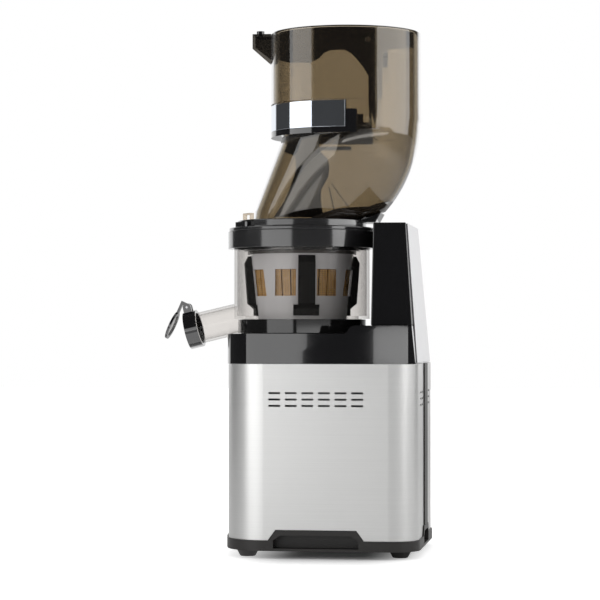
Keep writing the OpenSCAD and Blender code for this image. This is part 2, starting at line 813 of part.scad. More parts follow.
// A rocker whose face dips in the middle, on a short upright pin
module rocker_switch() {
  color("#0b0b0c") translate([axis_x, 0, 0]) {
    intersection() {
      translate([switch_x, half_d - pivot_in, switch_z - rocker_wid / 2])
        difference() {
          cylinder(r = rocker_len / 2 - 0.2, h = rocker_wid);
          translate([0, rocker_r + pivot_in + 0.6, -1]) cylinder(r = rocker_r, h = rocker_wid + 2);
        }
      translate([switch_x, half_d - pivot_in, switch_z])
        translate([-rocker_len / 2, -5, -rocker_wid / 2]) cube([rocker_len, deep, rocker_wid]);
    }
    translate([switch_x, half_d - pivot_in, switch_z - rocker_wid / 2 - 1])
      cylinder(r = pivot_r, h = rocker_wid + 2, $fn = 24);
  }
}

// ---------------------------------------------------------------- juice drum
z_base_low = z_deck + 0.8;
z_base_top = z_shoulder - 0.6;
z_floor = z_deck + 8;
floor_t = 3;
z_in = z_floor + floor_t;
drum_in = drum_r - drum_wall;
nest_in = nest_r - drum_wall;
spout_r = spout_d / 2;
bore_r = spout_r - spout_wall;
pulp_y = 30.5;
pulp_r = 7;
pulp_wall = 1.5;
pulp_half = 15;
pulp_top = 13.6;

module drum_base() {
  color("#111113") translate([axis_x, 0, 0]) difference() {
    translate([0, 0, z_base_low]) cylinder(r = base_ring_r, h = z_base_top - z_base_low);
    translate([0, 0, z_floor - seat_gap / 3]) cylinder(r = nest_r + seat_gap / 3, h = deep);
    translate([0, 0, z_deck]) cylinder(r = floor_hole_r + 2, h = deep);
    spout_bar(spout_r + seat_gap, -drum_r / 2, spout_len);
    translate([-pulp_half - seat_gap, pulp_y - pulp_r - pulp_wall - seat_gap, z_deck])
      cube([2 * (pulp_half + seat_gap), deep, deep]);
  }
}

// Profile of the clear drum: an upper wall, a shoulder, a nested lower part and a floor
module drum_profile() {
  polygon([[floor_hole_r, z_floor], [nest_r, z_floor], [nest_r, z_shoulder],
    [drum_r, z_shoulder], [drum_r, z_drum_top], [drum_in, z_drum_top],
    [drum_in, z_shoulder + drum_wall], [nest_in, z_shoulder + drum_wall], [nest_in, z_in],
    [floor_hole_r, z_in]]);
}

lug_z = z_ring + 4;
lug_h = 4;
lug_r = ring_r - 2.6;
lug_arc = 16;

module wedge_sector(r, angle, z, h) {
  translate([0, 0, z]) rotate([0, 0, -angle / 2]) rotate_extrude(angle = angle) square([r, h]);
}

module juice_drum() {
  color("#d8dadb", 0.4) translate([axis_x, 0, 0]) difference() {
    union() {
      rotate_extrude() drum_profile();
      difference() {
        spout_bar(spout_r, -6, spout_len);
        translate([0, 0, z_deck]) cylinder(r = nest_r - 1, h = deep);
      }
      difference() {
        for (i = [0:lug_count - 1]) rotate([0, 0, i * 360 / lug_count + 60])
          wedge_sector(lug_r, lug_arc, lug_z, lug_h);
        translate([0, 0, z_deck]) cylinder(r = drum_r - 1, h = deep);
      }
    }
    spout_bar(bore_r, -14, spout_len + 1);
    translate([0, pulp_y, z_deck]) cylinder(r = pulp_r + pulp_wall + run_gap, h = deep);
  }
}

neck_r = 13;

module drum_seal() {
  color("#c9c4ba") translate([axis_x, 0, 0]) {
    tube(floor_hole_r, neck_r + run_gap, z_floor, z_in);
  }
}

// The pulp leaves the strainer by a short pipe, a trough under the drum's floor and a covered chute
module pulp_spout() {
  trough_y = pulp_y - pulp_r - pulp_wall;
  color("#111113") translate([axis_x, 0, 0]) difference() {
    union() {
      translate([0, pulp_y, z_base_low])
        cylinder(r = pulp_r + pulp_wall, h = z_strainer - seat_gap / 3 - z_base_low);
      translate([-pulp_half, trough_y, z_base_low])
        cube([2 * pulp_half, nest_r + 2 * seat_gap - trough_y, z_floor - seat_gap / 3 - z_base_low]);
      translate([-pulp_half, nest_r + seat_gap, z_base_low])
        cube([2 * pulp_half, wide_side - nest_r - 2 * seat_gap, pulp_top]);
    }
    translate([0, pulp_y, z_base_low + pulp_wall]) cylinder(r = pulp_r, h = deep);
    translate([-pulp_half + pulp_wall, pulp_y, z_base_low + pulp_wall])
      cube([2 * (pulp_half - pulp_wall), nest_r + seat_gap + pulp_wall - pulp_y,
        z_floor - z_base_low - pulp_wall - seat_gap]);
    translate([-pulp_half + pulp_wall, nest_r + seat_gap + pulp_wall, z_base_low + pulp_wall])
      cube([2 * (pulp_half - pulp_wall), deep, pulp_top - 2 * pulp_wall]);
  }
}

z_ring_gear = z_in + 0.4;
z_gears = z_in + 1;
gears_h = 4.4;
z_frame = z_in + 6.4;
z_strainer = z_in + 7;
z_frame_top = z_ring - 6;
strainer_gap = 0.6;
ring_teeth = auger_teeth + 2 * idler_teeth;
idler_reach = mod_3 * (auger_teeth + idler_teeth) / 2;
idler_angle = -135;
// Angle from the line of centres to the idler's nearest tooth on the ring's side
idler_phase = (180 + 180 / idler_teeth) % (360 / idler_teeth);
idler_pin_r = 3;
blade_foot = 26;
blade_foot_h = 12;
window_z = z_frame + 21;
window_h = 27;
window_half = 31;
blade_turn = 13;

function frame_r(z) =
  frame_foot_r + (frame_top_r - frame_foot_r) * (z - z_frame) / (z_frame_top - z_frame);

// Solid cone that follows the wiper frame at a distance outside its face
module frame_cone(outside, z_low, z_high_end) {
  translate([0, 0, z_low]) cylinder(r1 = frame_r(z_low) + outside,
    r2 = frame_r(z_high_end) + outside, h = z_high_end - z_low);
}

module at_idler() {
  rotate([0, 0, idler_angle]) translate([idler_reach, 0, 0]) children();
}

module idler_pin() {
  color("#b9bbbf") translate([axis_x, 0, 0]) at_idler()
    translate([0, 0, z_in]) cylinder(r = idler_pin_r, h = z_gears + gears_h - z_in + 0.8);
}

module idler_gear() {
  color("#d8d4c8") translate([axis_x, 0, 0]) at_idler() difference() {
    translate([0, 0, z_gears]) rotate([0, 0, 180 + 180 / idler_teeth])
      gear(idler_teeth, mod_3, gears_h);
    translate([0, 0, z_in]) cylinder(r = idler_pin_r + run_gap, h = deep);
  }
}

module wiper_frame() {
  color("#9b9ea0", 0.5) translate([axis_x, 0, 0]) difference() {
    union() {
      translate([0, 0, z_ring_gear]) cylinder(r = frame_foot_r, h = z_frame - z_ring_gear);
      frame_cone(0, z_frame, z_frame_top);
    }
    frame_cone(-frame_wall, z_frame - tiny, z_frame_top + tiny);
    translate([0, 0, z_ring_gear - 1]) rotate([0, 0, idler_angle + idler_phase * idler_teeth / ring_teeth])
      linear_extrude(z_frame - z_ring_gear + 2)
        polygon(gear_points(ring_teeth, mod_3, root_share * mod_3, tip_share * mod_3, -backlash));
    for (a = [0:90:270]) rotate([0, 0, a + blade_turn]) {
      translate([blade_w / 2 + 2, -deep, window_z])
        cube([window_half - blade_w / 2 - 2, deep, window_h]);
      translate([-window_half, -deep, window_z])
        cube([window_half - blade_w / 2 - 2, deep, window_h]);
    }
  }
}

module wiper_blades() {
  color("#101012") translate([axis_x, 0, 0]) difference() {
    intersection() {
      rotate_extrude() polygon([[0, z_frame + 1], [blade_r - 9.5, z_frame + 1],
        [blade_r - 9.5, z_frame + 8], [blade_r - 6, z_frame + 11], [blade_r - 3, z_frame + 13.5],
        [blade_r, z_frame_top - 9], [blade_r - 3.5, z_frame_top - 2], [0, z_frame_top - 2]]);
      union() {
        for (a = [0, 90]) rotate([0, 0, a + blade_turn]) {
          translate([-blade_w / 2, -deep, 0]) cube([blade_w, 2 * deep, deep]);
          translate([-blade_foot / 2, -deep, 0]) cube([blade_foot, 2 * deep, z_frame + blade_foot_h]);
        }
      }
    }
    frame_cone(tiny, z_frame - 1, z_frame_top + 1);
  }
}

slot_low = 14;
slot_h = 38;
strainer_floor = 2;
strainer_rim = 2.5;

module strainer() {
  color("#c08a3c") translate([axis_x, 0, 0]) difference() {
    union() {
      frame_cone(-frame_wall - strainer_gap, z_strainer, z_frame_top + tiny);
      translate([0, 0, z_frame_top + seat_gap]) cylinder(r = frame_top_r + 2, h = strainer_rim);
      translate([0, 0, z_frame_top]) cylinder(r = frame_r(z_frame_top) - frame_wall - strainer_gap, h = 1);
    }
    frame_cone(-frame_wall - strainer_gap - strainer_wall, z_strainer + strainer_floor, z_frame_top + deck_h);
    translate([0, 0, z_floor]) cylinder(r = neck_r + 1.5, h = deep);
    translate([0, pulp_y, z_strainer - 1]) cylinder(r = pulp_r, h = strainer_floor + 2);
    for (i = [0:strainer_slots - 1]) rotate([0, 0, (i + 0.5) * 360 / strainer_slots])
      translate([frame_foot_r - 10, -0.6, z_strainer + slot_low]) cube([20, 1.2, slot_h]);
  }
}

auger_low = z_floor - 1.5;
auger_flange_z = z_strainer + strainer_floor + 0.6;
auger_top_z = z_lid - 16;
flight_z = auger_flange_z + 2;
flight_steps = 24;
auger_tip_r = 9;

function flight_ring(i) = let (
  a = i * 360 / flight_steps,
  z = flight_z + i * auger_pitch / flight_steps,
  r = min(frame_r(z), frame_r(z_frame_top)) - frame_wall - strainer_wall - strainer_gap - 1.2,
  in_r = auger_tip_r - 2,
  c = [cos(a), sin(a)])
  [[in_r * c[0], in_r * c[1], z], [r * c[0], r * c[1], z + 0.6],
    [r * c[0], r * c[1], z + flight_t], [in_r * c[0], in_r * c[1], z + flight_t + 0.6]];

module flight() {
  count = round(auger_turns * flight_steps);
  rings = [for (i = [0:count]) flight_ring(i)];
  points = [for (ring = rings) each ring];
  walls = [for (i = [0:count - 1], k = [0:3]) let (a = 4 * i + k, b = 4 * i + (k + 1) % 4)
    each [[a, b, a + 4], [b, b + 4, a + 4]]];
  ends = [[0, 2, 1], [0, 3, 2], [4 * count, 4 * count + 1, 4 * count + 2],
    [4 * count, 4 * count + 2, 4 * count + 3]];
  polyhedron(points = points, faces = concat(walls, ends), convexity = 8);
}

module auger() {
  color("#3b3c3f") translate([axis_x, 0, 0]) difference() {
    union() {
      translate([0, 0, auger_low]) cylinder(r = neck_r, h = auger_flange_z - auger_low + 1);
      translate([0, 0, z_gears]) rotate([0, 0, idler_angle]) gear(auger_teeth, mod_3, gears_h);
      translate([0, 0, auger_flange_z])
        cylinder(r1 = auger_core_r, r2 = auger_tip_r, h = auger_top_z - auger_flange_z);
      flight();
    }
    translate([0, 0, auger_low - 1])
      cylinder(r = (hex_flats / 2 + seat_gap) / cos(30), h = z_deck + hex_h + 2 - auger_low, $fn = 6);
  }
}

// ---------------------------------------------------------------- juice spout and its cap
module at_mouth() {
  translate([-drum_r, 0, z_deck + spout_rise]) rotate([0, -90 - spout_fall, 0])
    translate([0, 0, spout_len]) children();
}

knuckle_r = 4.2;
knuckle_x = collar_d / 2 + 4.4;
knuckle_back = 4.5;
knuckle_half = 6;

module spout_collar() {
  color("#0d0d0f") translate([axis_x, 0, 0]) at_mouth() difference() {
    union() {
      translate([0, 0, -collar_len]) cylinder(d = collar_d, h = collar_len + 1);
      for (side = [-1, 1]) translate([knuckle_x, side * (knuckle_half - 1.5), -knuckle_back])
        rotate([90, 0, 0]) cylinder(r = knuckle_r, h = 3, center = true);
      for (side = [-1, 1])
        translate([spout_r + 1, side * (knuckle_half - 1.5) - 1.5, -knuckle_back - knuckle_r])
          cube([knuckle_x - spout_r - 1, 3, 2 * knuckle_r]);
    }
    translate([0, 0, -collar_len - 1]) cylinder(r = spout_r + tiny, h = collar_len + 1);
    translate([0, 0, -collar_len - 1]) cylinder(r = bore_r, h = collar_len + 3);
    translate([knuckle_x, 0, -knuckle_back]) rotate([90, 0, 0])
      cylinder(d = cap_pin_d + 2 * run_gap, h = 4 * knuckle_half, center = true);
  }
}

module cap_pin() {
  color("#b9bbbf") translate([axis_x, 0, 0]) at_mouth() translate([knuckle_x, 0, -knuckle_back])
    rotate([90, 0, 0]) cylinder(d = cap_pin_d, h = 2 * knuckle_half, center = true);
}

// The cap turns about the pin: at zero its disc would lie on the collar's mouth
module at_cap() {
  at_mouth() translate([knuckle_x, 0, -knuckle_back]) rotate([0, cap_open, 0])
    translate([-knuckle_x, 0, knuckle_back]) children();
}

cap_seat = 1.4;
cap_rim = 1.6;

module cap_arm() {
  color("#0d0d0f") translate([axis_x, 0, 0]) at_cap() difference() {
    union() {
      translate([knuckle_x, 0, -knuckle_back]) rotate([90, 0, 0])
        cylinder(r = knuckle_r - 0.4, h = 2 * (knuckle_half - 3) - 0.6, center = true);
      translate([knuckle_x, -knuckle_half + 3.3, -knuckle_back])
        cube([knuckle_r - 0.4, 2 * (knuckle_half - 3.3), knuckle_back + cap_seat + 2.4]);
      translate([cap_d / 2 - 2, -knuckle_half + 3.3, cap_seat])
        cube([knuckle_x - cap_d / 2 + 2 + knuckle_r - 0.4, 2 * (knuckle_half - 3.3), 2.4]);
      tube(cap_d / 2 + cap_rim, cap_d / 2 - 2, cap_seat, cap_seat + 2.4);
    }
    translate([knuckle_x, 0, -knuckle_back]) rotate([90, 0, 0])
      cylinder(d = cap_pin_d + 2 * run_gap, h = 4 * knuckle_half, center = true);
    translate([0, 0, cap_seat + 0.2]) cylinder(r = cap_d / 2 + tiny, h = cap_t);
  }
}

module spout_cap() {
  color("#dfe2e4", 0.5) translate([axis_x, 0, 0]) at_cap()
    translate([0, 0, cap_seat + 0.2]) cylinder(d = cap_d, h = cap_t);
}

// ---------------------------------------------------------------- lid
ring_in = drum_r + 0.5;
groove_r = lug_r + 0.5;
lid_step = 4;
tier_low_r = ring_r - 1;
skirt_out = 60;
skirt_wall = 3;
plate_under = 4.5;

module lock_ring() {
  color("#161618") translate([axis_x, 0, 0]) difference() {
    translate([0, 0, z_ring]) cylinder(r = ring_r, h = ring_h);
    translate([0, 0, z_ring - 1]) cylinder(r = ring_in, h = ring_h + 2);
    translate([0, 0, lug_z - 0.5]) cylinder(r = groove_r, h = lug_h + 1);
    for (i = [0:lug_count - 1]) rotate([0, 0, i * 360 / lug_count + 60 + lid_turn])
      wedge_sector(groove_r + seat_gap, lug_arc + 4, z_ring - 1, lug_z - z_ring + 1.2);
    translate([0, 0, z_ring_top - ring_cap]) cylinder(r = tier_low_r - 2, h = deep);
  }
}

module lid_plate() {
  color("#161618") translate([axis_x, 0, 0]) difference() {
    union() {
      translate([0, 0, z_ring_top - ring_cap + tiny]) cylinder(r = tier_low_r - 2.1, h = ring_cap + 1);
      translate([0, 0, z_ring_top + tiny]) cylinder(r = tier_low_r, h = lid_step);
      translate([0, 0, z_ring_top]) cylinder(r = tier_r, h = lid_h);
      translate([0, 0, z_frame_top + seat_gap + strainer_rim + seat_gap])
        cylinder(r = skirt_out, h = z_ring_top - z_frame_top - strainer_rim - 2 * seat_gap);
    }
    translate([0, 0, z_ring]) cylinder(r = throat_r, h = deep);
    translate([0, 0, z_frame_top]) cylinder(r = skirt_out - skirt_wall - 6, h = z_ring_top - z_frame_top - plate_under);
  }
}

module lid_gasket() {
  color("#c9c4ba") translate([axis_x, 0, 0])
    tube(drum_in - 0.4, skirt_out + 0.4, z_drum_top - 6, z_ring_top - ring_cap - tiny);
}

tab_angle = 218;
tab_r = 61;
tab_depth = 4;
tab_half = 8;
tab_h = 6.5;
tab_wall = 1.8;
block_half = 10;
block_depth = 6;
block_h = 5;

// A small black catch block against the side of the lid's upper tier
module tab_block() {
  color("#0c0c0e") translate([axis_x, 0, 0]) rotate([0, 0, tab_angle]) difference() {
    translate([tier_r - 3, -block_half, z_ring_top + lid_step + tiny])
      cube([block_depth + 3, 2 * block_half, block_h]);
    translate([0, 0, z_ring_top]) cylinder(r = tier_r + tiny, h = deep);
  }
}

// The small clear loop that stands on the lid behind the block
module lid_tab() {
  color("#c9bfae", 0.6) translate([axis_x, 0, 0]) rotate([0, 0, tab_angle]) difference() {
    translate([tab_r, -tab_half, z_lid + tiny]) cube([tab_depth, 2 * tab_half, tab_h]);
    translate([tab_r - 1, -tab_half + tab_wall, z_lid - 1])
      cube([tab_depth + 2, 2 * (tab_half - tab_wall), tab_h + 1 - tab_wall]);
  }
}

// ---------------------------------------------------------------- hopper
// The hopper is a stack of ellipses: a leaning chute below and an upright cup above.
// Each ring gives its height, its left and right ends in X, and its half width in Y.
bend_top = z_ledge + 13.3;
chute_top_y = cup_r - hopper_wall / 2 - 0.8;
under_z = z_chute + 8.7;
under_slope = 2.7;
cup_left = cup_x - cup_r;
cup_right = cup_x + cup_r;
bend_taper = 0.7;
recess = hopper_wall / 2;
ring_sides = 72;
ledge_drop = 0.4;

function chute_left_x(z) = -chute_left + chute_slope * (z - z_chute);
function bend_x(z) = z >= bend_top ? cup_right :
  cup_right - bend_taper - bend_r * (1 - cos(asin((bend_top - z) / bend_r)));
function chute_right_x(z) = z >= under_z ? bend_x(z) : bend_x(under_z) - under_slope * (under_z - z);
function chute_y(z) = z >= z_ledge ? cup_r :
  chute_half_y + (chute_top_y - chute_half_y) * sin(90 * max(0, z - z_chute) / (z_ledge - z_chute));

function chute_ring(z) = [z, chute_left_x(z), chute_right_x(z), chute_y(z)];
function chute_inner(z) =
  [z, chute_left_x(z) + hopper_wall, chute_right_x(z - hopper_wall) - hopper_wall,
    chute_y(z) - hopper_wall];
function cup_ring(z, inset) = [z, cup_left + inset, cup_right - inset, cup_r - inset];
function ledge_ring(z, inset) = [z, cup_left + inset, bend_x(z) - inset, chute_y(z) - inset];

chute_levels = [for (i = [0:8]) under_z + (z_ledge - ledge_drop - under_z) * i / 8];
outer_rings = concat([chute_ring(z_chute)], [for (z = chute_levels) chute_ring(z)],
  [ledge_ring(z_ledge, 0), ledge_ring((z_ledge + bend_top) / 2, 0), cup_ring(bend_top, 0),
    cup_ring(z_ledge + band_h + 3, 0), cup_ring(z_ledge + band_h + 3.2, 0), cup_ring(z_rim - 1, 0),
    cup_ring(z_rim, 1)]);
inner_rings = concat([chute_inner(z_chute)], [for (z = chute_levels) chute_inner(z + 0.5)],
  [chute_inner(z_ledge + 2.5), ledge_ring(z_ledge + 3.4, hopper_wall),
    cup_ring(bend_top, hopper_wall), cup_ring(z_rim, hopper_wall)]);
band_low_ring = len(chute_levels) + 1;
band_high_ring = band_low_ring + 3;
band_limit_x = cup_x + cup_r * sin(carrier_end + 6);

// The carrier sits in a shallow recess on the side of the cup away from the bend
function ring_points(ring, index) = let (
  middle = (ring[1] + ring[2]) / 2, half = (ring[2] - ring[1]) / 2,
  shrink = index >= band_low_ring && index <= band_high_ring)
  [for (i = [0:ring_sides - 1]) let (a = i * 360 / ring_sides,
    x = middle + half * cos(a), y = ring[3] * sin(a),
    s = shrink && x < band_limit_x ? 1 - recess / cup_r : 1)
    [cup_x * (1 - s) + x * s, y * s, ring[0]]];

module hopper_skin() {
  n = ring_sides;
  outer = [for (i = [0:len(outer_rings) - 1]) each ring_points(outer_rings[i], i)];
  inner = [for (i = [0:len(inner_rings) - 1]) each ring_points(inner_rings[i], -1)];
  start = len(outer);
  total = start + len(inner);
  top_o = start - n;
  top_i = total - n;
  outer_faces = [for (r = [0:len(outer_rings) - 2], k = [0:n - 1])
    let (a = r * n + k, b = r * n + (k + 1) % n) each [[a, a + n, b], [b, a + n, b + n]]];
  inner_faces = [for (r = [0:len(inner_rings) - 2], k = [0:n - 1])
    let (a = start + r * n + k, b = start + r * n + (k + 1) % n)
      each [[a, b, a + n], [b, b + n, a + n]]];
  rim_faces = [for (k = [0:n - 1]) let (j = (k + 1) % n)
    each [[top_o + k, top_i + k, top_o + j], [top_o + j, top_i + k, top_i + j]]];
  foot_faces = [for (k = [0:n - 1]) let (j = (k + 1) % n)
    each [[k, j, start + k], [j, start + j, start + k]]];
  polyhedron(points = concat(outer, inner),
    faces = concat(outer_faces, inner_faces, rim_faces, foot_faces), convexity = 10);
}

module hopper_shell() {
  color("#5a4632", 0.5) translate([axis_x, 0, 0]) hopper_skin();
}

module at_cup() { translate([cup_x, 0, 0]) children(); }

// Everything on the drum side of an upright plane, given as an angle past the cup's widest point
module cup_side(angle, r) {
  translate([-deep, -deep / 2, 0]) cube([deep + r * sin(angle), deep, 2 * deep]);
}

carrier_in = cup_r - recess + 0.25;
carrier_out = cup_r - band_t - 0.05;
carrier_rim_h = 4;
lug_rise = 19.5;
z_band = z_ledge + 1.8;

module carrier_floor() {
  low_x = chute_left_x(z_ledge - carrier_rim_h);
  high_x = bend_x(z_ledge - seat_gap);
  middle = (low_x + high_x) / 2 - cup_x;
  half = (high_x - low_x) / 2 + 2 * seat_gap;
  half_y = chute_y(z_ledge - seat_gap) + 2 * seat_gap;
  linear_extrude(carrier_rim_h - 2 * seat_gap) difference() {
    circle(r = cup_r);
    polygon([for (i = [0:ring_sides - 1]) let (a = i * 360 / ring_sides)
      [middle + half * cos(a), half_y * sin(a)]]);
  }
}

module hopper_carrier() {
  color("#0d0d0f") translate([axis_x, 0, 0]) at_cup() {
    intersection() {
      translate([0, 0, z_ledge - carrier_rim_h]) carrier_floor();
      cup_side(carrier_end, cup_r);
    }
    intersection() {
      tube(carrier_out, carrier_in, z_ledge - carrier_rim_h, z_ledge + band_h + 2);
      cup_side(band_end + 1, cup_r);
    }
    intersection() {
      tube(cup_r, carrier_in, z_ledge - carrier_rim_h, z_ledge + lug_rise);
      difference() {
        cup_side(carrier_end, cup_r);
        cup_side(band_end + 0.4, cup_r);
      }
    }
    intersection() {
      tube(cup_r, carrier_in, z_ledge - carrier_rim_h, z_band - 0.1);
      cup_side(band_end + 1, cup_r);
    }
  }
}

module chrome_band() {
  color("#e6e8ea") translate([axis_x, 0, 0]) at_cup() intersection() {
    tube(cup_r, cup_r - band_t, z_band, z_band + band_h);
    cup_side(band_end, cup_r);
  }
}

bracket_out = 18;
bracket_half = 15;
bracket_h = 15;
bracket_fall = 15.5;
bracket_wall = 2.5;

// The hollow lip that stands out of the cup's rim above the spout
module bracket_shape(inset) {
  polygon([[-cup_r - bracket_out + inset, z_rim - inset], [-cup_r + 2, z_rim - inset],
    [-cup_r + 2, z_rim - bracket_h - bracket_fall + 2 * inset],
    [-cup_r - 0.5, z_rim - bracket_h - bracket_fall + 2 * inset],
    [-cup_r - bracket_out + inset, z_rim - bracket_h + inset / 2]]);
}

module rim_bracket() {
  color("#4a3c30", 0.6) translate([axis_x, 0, 0]) at_cup() difference() {
    side_prism(-bracket_half, bracket_half) bracket_shape(0);
    side_prism(-bracket_half + bracket_wall, bracket_half - bracket_wall) bracket_shape(bracket_wall);
    translate([0, 0, z_case]) cylinder(r = cup_r + 0.05, h = 2 * deep);
    knob_stem(run_gap);
  }
}

knob_r = 4;
knob_h = 4.5;
knob_out = 12;
stem_r = 2;

module knob_stem(grow) {
  translate([-cup_r - knob_out, 0, z_rim - bracket_wall - 1]) cylinder(r = stem_r + grow, h = deep);
}

module rim_knob() {
  color("#0c0c0e") translate([axis_x, 0, 0]) at_cup() translate([-cup_r - knob_out, 0, z_rim]) {
    translate([0, 0, tiny]) cylinder(r = knob_r, h = knob_h);
    translate([0, 0, -bracket_wall]) cylinder(r = stem_r, h = bracket_wall + 1);
  }
}

// Wedge under the bend; it holds the magnet that lets the motor start
wedge_half = 20;
wedge_low = z_tower + 2;
wedge_in = 1.95;

module lid_wedge() {
  wedge_out = bend_x(under_z) - wedge_in;
  color("#0c0c0e") translate([axis_x, 0, 0]) difference() {
    side_prism(-wedge_half, wedge_half)
      polygon([[tier_r - 6, wedge_low], [wedge_out - 6, wedge_low],
        [wedge_out, under_z - wedge_in / under_slope - 0.6],
        [tier_r - 6, z_chute + (tier_r - 6 - chute_right_x(z_chute)) / under_slope - 0.6]]);
    cylinder(r = tier_r + tiny, h = 2 * deep);
    cylinder(r = tier_low_r + tiny, h = z_ring_top + lid_step + tiny);
  }
}

// ---------------------------------------------------------------- feed gate
frame_out = cup_r - hopper_wall - 0.25;
frame_in = frame_out - gate_frame_wall;
frame_gap_top = 1.5;
cheek_x = 30.5;
cheek_w = 13;
far_collar_h = 5.5;
far_lug_w = 14;
far_lug_h = 26;
hinge_drop = 14;
z_hinge = z_rim - hinge_drop;
cheek_low = hopper_h - ledge_h - hopper_wall - seat_gap;

// Side view of the near half of the gate frame: a deep collar with an arch, and a cheek beside the gate.
// X is from the cup axis, and the second number is the depth below the rim.
module near_frame_shape() {
  top = z_rim - frame_gap_top;
  edge = [[-cup_r, gate_frame_h - 4], [-67, gate_frame_h - 3], [-53, gate_frame_h + 2.5],
    [-28, gate_frame_h + 5], [-19, gate_frame_h + 1], [-13, gate_frame_h - 4.7], [-7, gate_frame_h - 6.7],
    [6.5, gate_frame_h - 7], [13.5, gate_frame_h - 3.4], [19, gate_frame_h + 2.4], [24.5, gate_frame_h + 9],
    [cheek_x, gate_frame_h + 19], [cheek_x, gate_frame_h + 50], [cheek_x + 1.5, cheek_low - 18],
    [cheek_x + 6, cheek_low], [cheek_x + 9, cheek_low - 14], [cheek_x + 9, gate_frame_h + 42],
    [cheek_x + cheek_w, gate_frame_h + 41], [cheek_x + cheek_w, gate_frame_h - 7.5],
    [62, gate_frame_h - 11.5], [cup_r, gate_frame_h - 18.5]];
  polygon(concat([[-cup_r, top]], [for (p = edge) [p[0], z_rim - p[1]]], [[cup_r, top]]));
}

// The far half is a shallow collar with a lug for the gate's pin
module far_frame_shape() {
  top = z_rim - frame_gap_top;
  translate([-cup_r, top - far_collar_h]) square([2 * cup_r, far_collar_h]);
  translate([gate_x - far_lug_w / 2, top - far_lug_h]) square([far_lug_w, far_lug_h]);
}

module gate_frame() {
  color("#101012") translate([axis_x, 0, 0]) at_cup() difference() {
    intersection() {
      tube(frame_out, frame_in, z_rim - cheek_low - 1, z_rim - frame_gap_top);
      union() {
        side_prism(-cup_r, tiny) near_frame_shape();
        side_prism(0, cup_r) far_frame_shape();
      }
    }
    translate([gate_x, 0, z_hinge]) rotate([90, 0, 0])
      cylinder(d = gate_pin_d + 2 * run_gap, h = 2 * cup_r, center = true);
  }
}

pin_half = sqrt(frame_out * frame_out - pow(gate_x + gate_pin_d / 2, 2)) - 0.2;

module gate_pin() {
  color("#b9bbbf") translate([axis_x, 0, 0]) at_cup() translate([gate_x, 0, z_hinge])
    rotate([90, 0, 0]) cylinder(d = gate_pin_d, h = 2 * pin_half, center = true);
}

barrel_r = gate_pin_d / 2 + 2;
gate_corner = 25;

module flip_gate() {
  color("#141415") translate([axis_x, 0, 0]) at_cup() translate([gate_x, 0, z_hinge]) difference() {
    union() {
      rotate([90, 0, 0]) cylinder(r = barrel_r, h = 2 * gate_half_w, center = true);
      end_prism(-gate_t / 2, gate_t / 2) {
        translate([-gate_half_w, -gate_len + gate_corner]) square([2 * gate_half_w, gate_len - gate_corner]);
        translate([-gate_half_w + gate_corner, -gate_len])
          square([2 * (gate_half_w - gate_corner), gate_len]);
        for (side = [-1, 1]) translate([side * (gate_half_w - gate_corner), -gate_len + gate_corner])
          circle(r = gate_corner);
      }
    }
    rotate([90, 0, 0]) cylinder(d = gate_pin_d + 2 * run_gap, h = 2 * cup_r, center = true);
  }
}

steel_casing();
plinth();
rubber_feet();
foot_screws();
deck_housing();
tower_cover();
front_plate();
end_strip();
motor_can();
motor_stator();
motor_rotor();
cooling_fan();
gearbox_pan();
gearbox_lid();
shaft_bearings();
layshaft_gears();
drive_shaft();
shaft_seal();
control_board();
mains_inlet();
inlet_pins();
switch_bezel();
rocker_switch();
drum_base();
juice_drum();
drum_seal();
pulp_spout();
idler_pin();
idler_gear();
wiper_frame();
wiper_blades();
strainer();
auger();
spout_collar();
cap_pin();
cap_arm();
spout_cap();
lock_ring();
lid_plate();
lid_gasket();
lid_tab();
tab_block();
lid_wedge();
hopper_shell();
rim_bracket();
rim_knob();
hopper_carrier();
chrome_band();
gate_frame();
gate_pin();
flip_gate();
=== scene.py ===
import json
import math

import bpy
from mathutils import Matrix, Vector


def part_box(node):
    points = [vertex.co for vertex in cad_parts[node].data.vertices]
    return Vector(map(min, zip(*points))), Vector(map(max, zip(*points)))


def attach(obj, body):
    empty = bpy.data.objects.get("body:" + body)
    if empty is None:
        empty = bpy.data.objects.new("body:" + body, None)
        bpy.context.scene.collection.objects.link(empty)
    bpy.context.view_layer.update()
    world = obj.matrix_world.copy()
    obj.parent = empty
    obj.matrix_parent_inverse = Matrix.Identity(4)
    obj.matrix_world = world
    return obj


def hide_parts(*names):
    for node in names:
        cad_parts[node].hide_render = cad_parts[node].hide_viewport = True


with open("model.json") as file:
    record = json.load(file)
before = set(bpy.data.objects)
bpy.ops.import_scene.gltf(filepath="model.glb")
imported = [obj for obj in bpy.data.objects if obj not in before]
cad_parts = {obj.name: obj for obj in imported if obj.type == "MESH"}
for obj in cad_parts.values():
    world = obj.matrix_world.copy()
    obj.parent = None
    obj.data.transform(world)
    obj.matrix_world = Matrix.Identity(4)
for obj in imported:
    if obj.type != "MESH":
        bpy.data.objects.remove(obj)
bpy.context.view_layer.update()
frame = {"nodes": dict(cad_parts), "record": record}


# ---------------------------------------------------------------- camera
# The juicer is photographed a little to the right of square-on, from about the height of its
# drum, with a long lens that stands far back.
ring_low, ring_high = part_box("lock_ring")
drum_axis = Vector(((ring_low.x + ring_high.x) / 2, 0, 0))

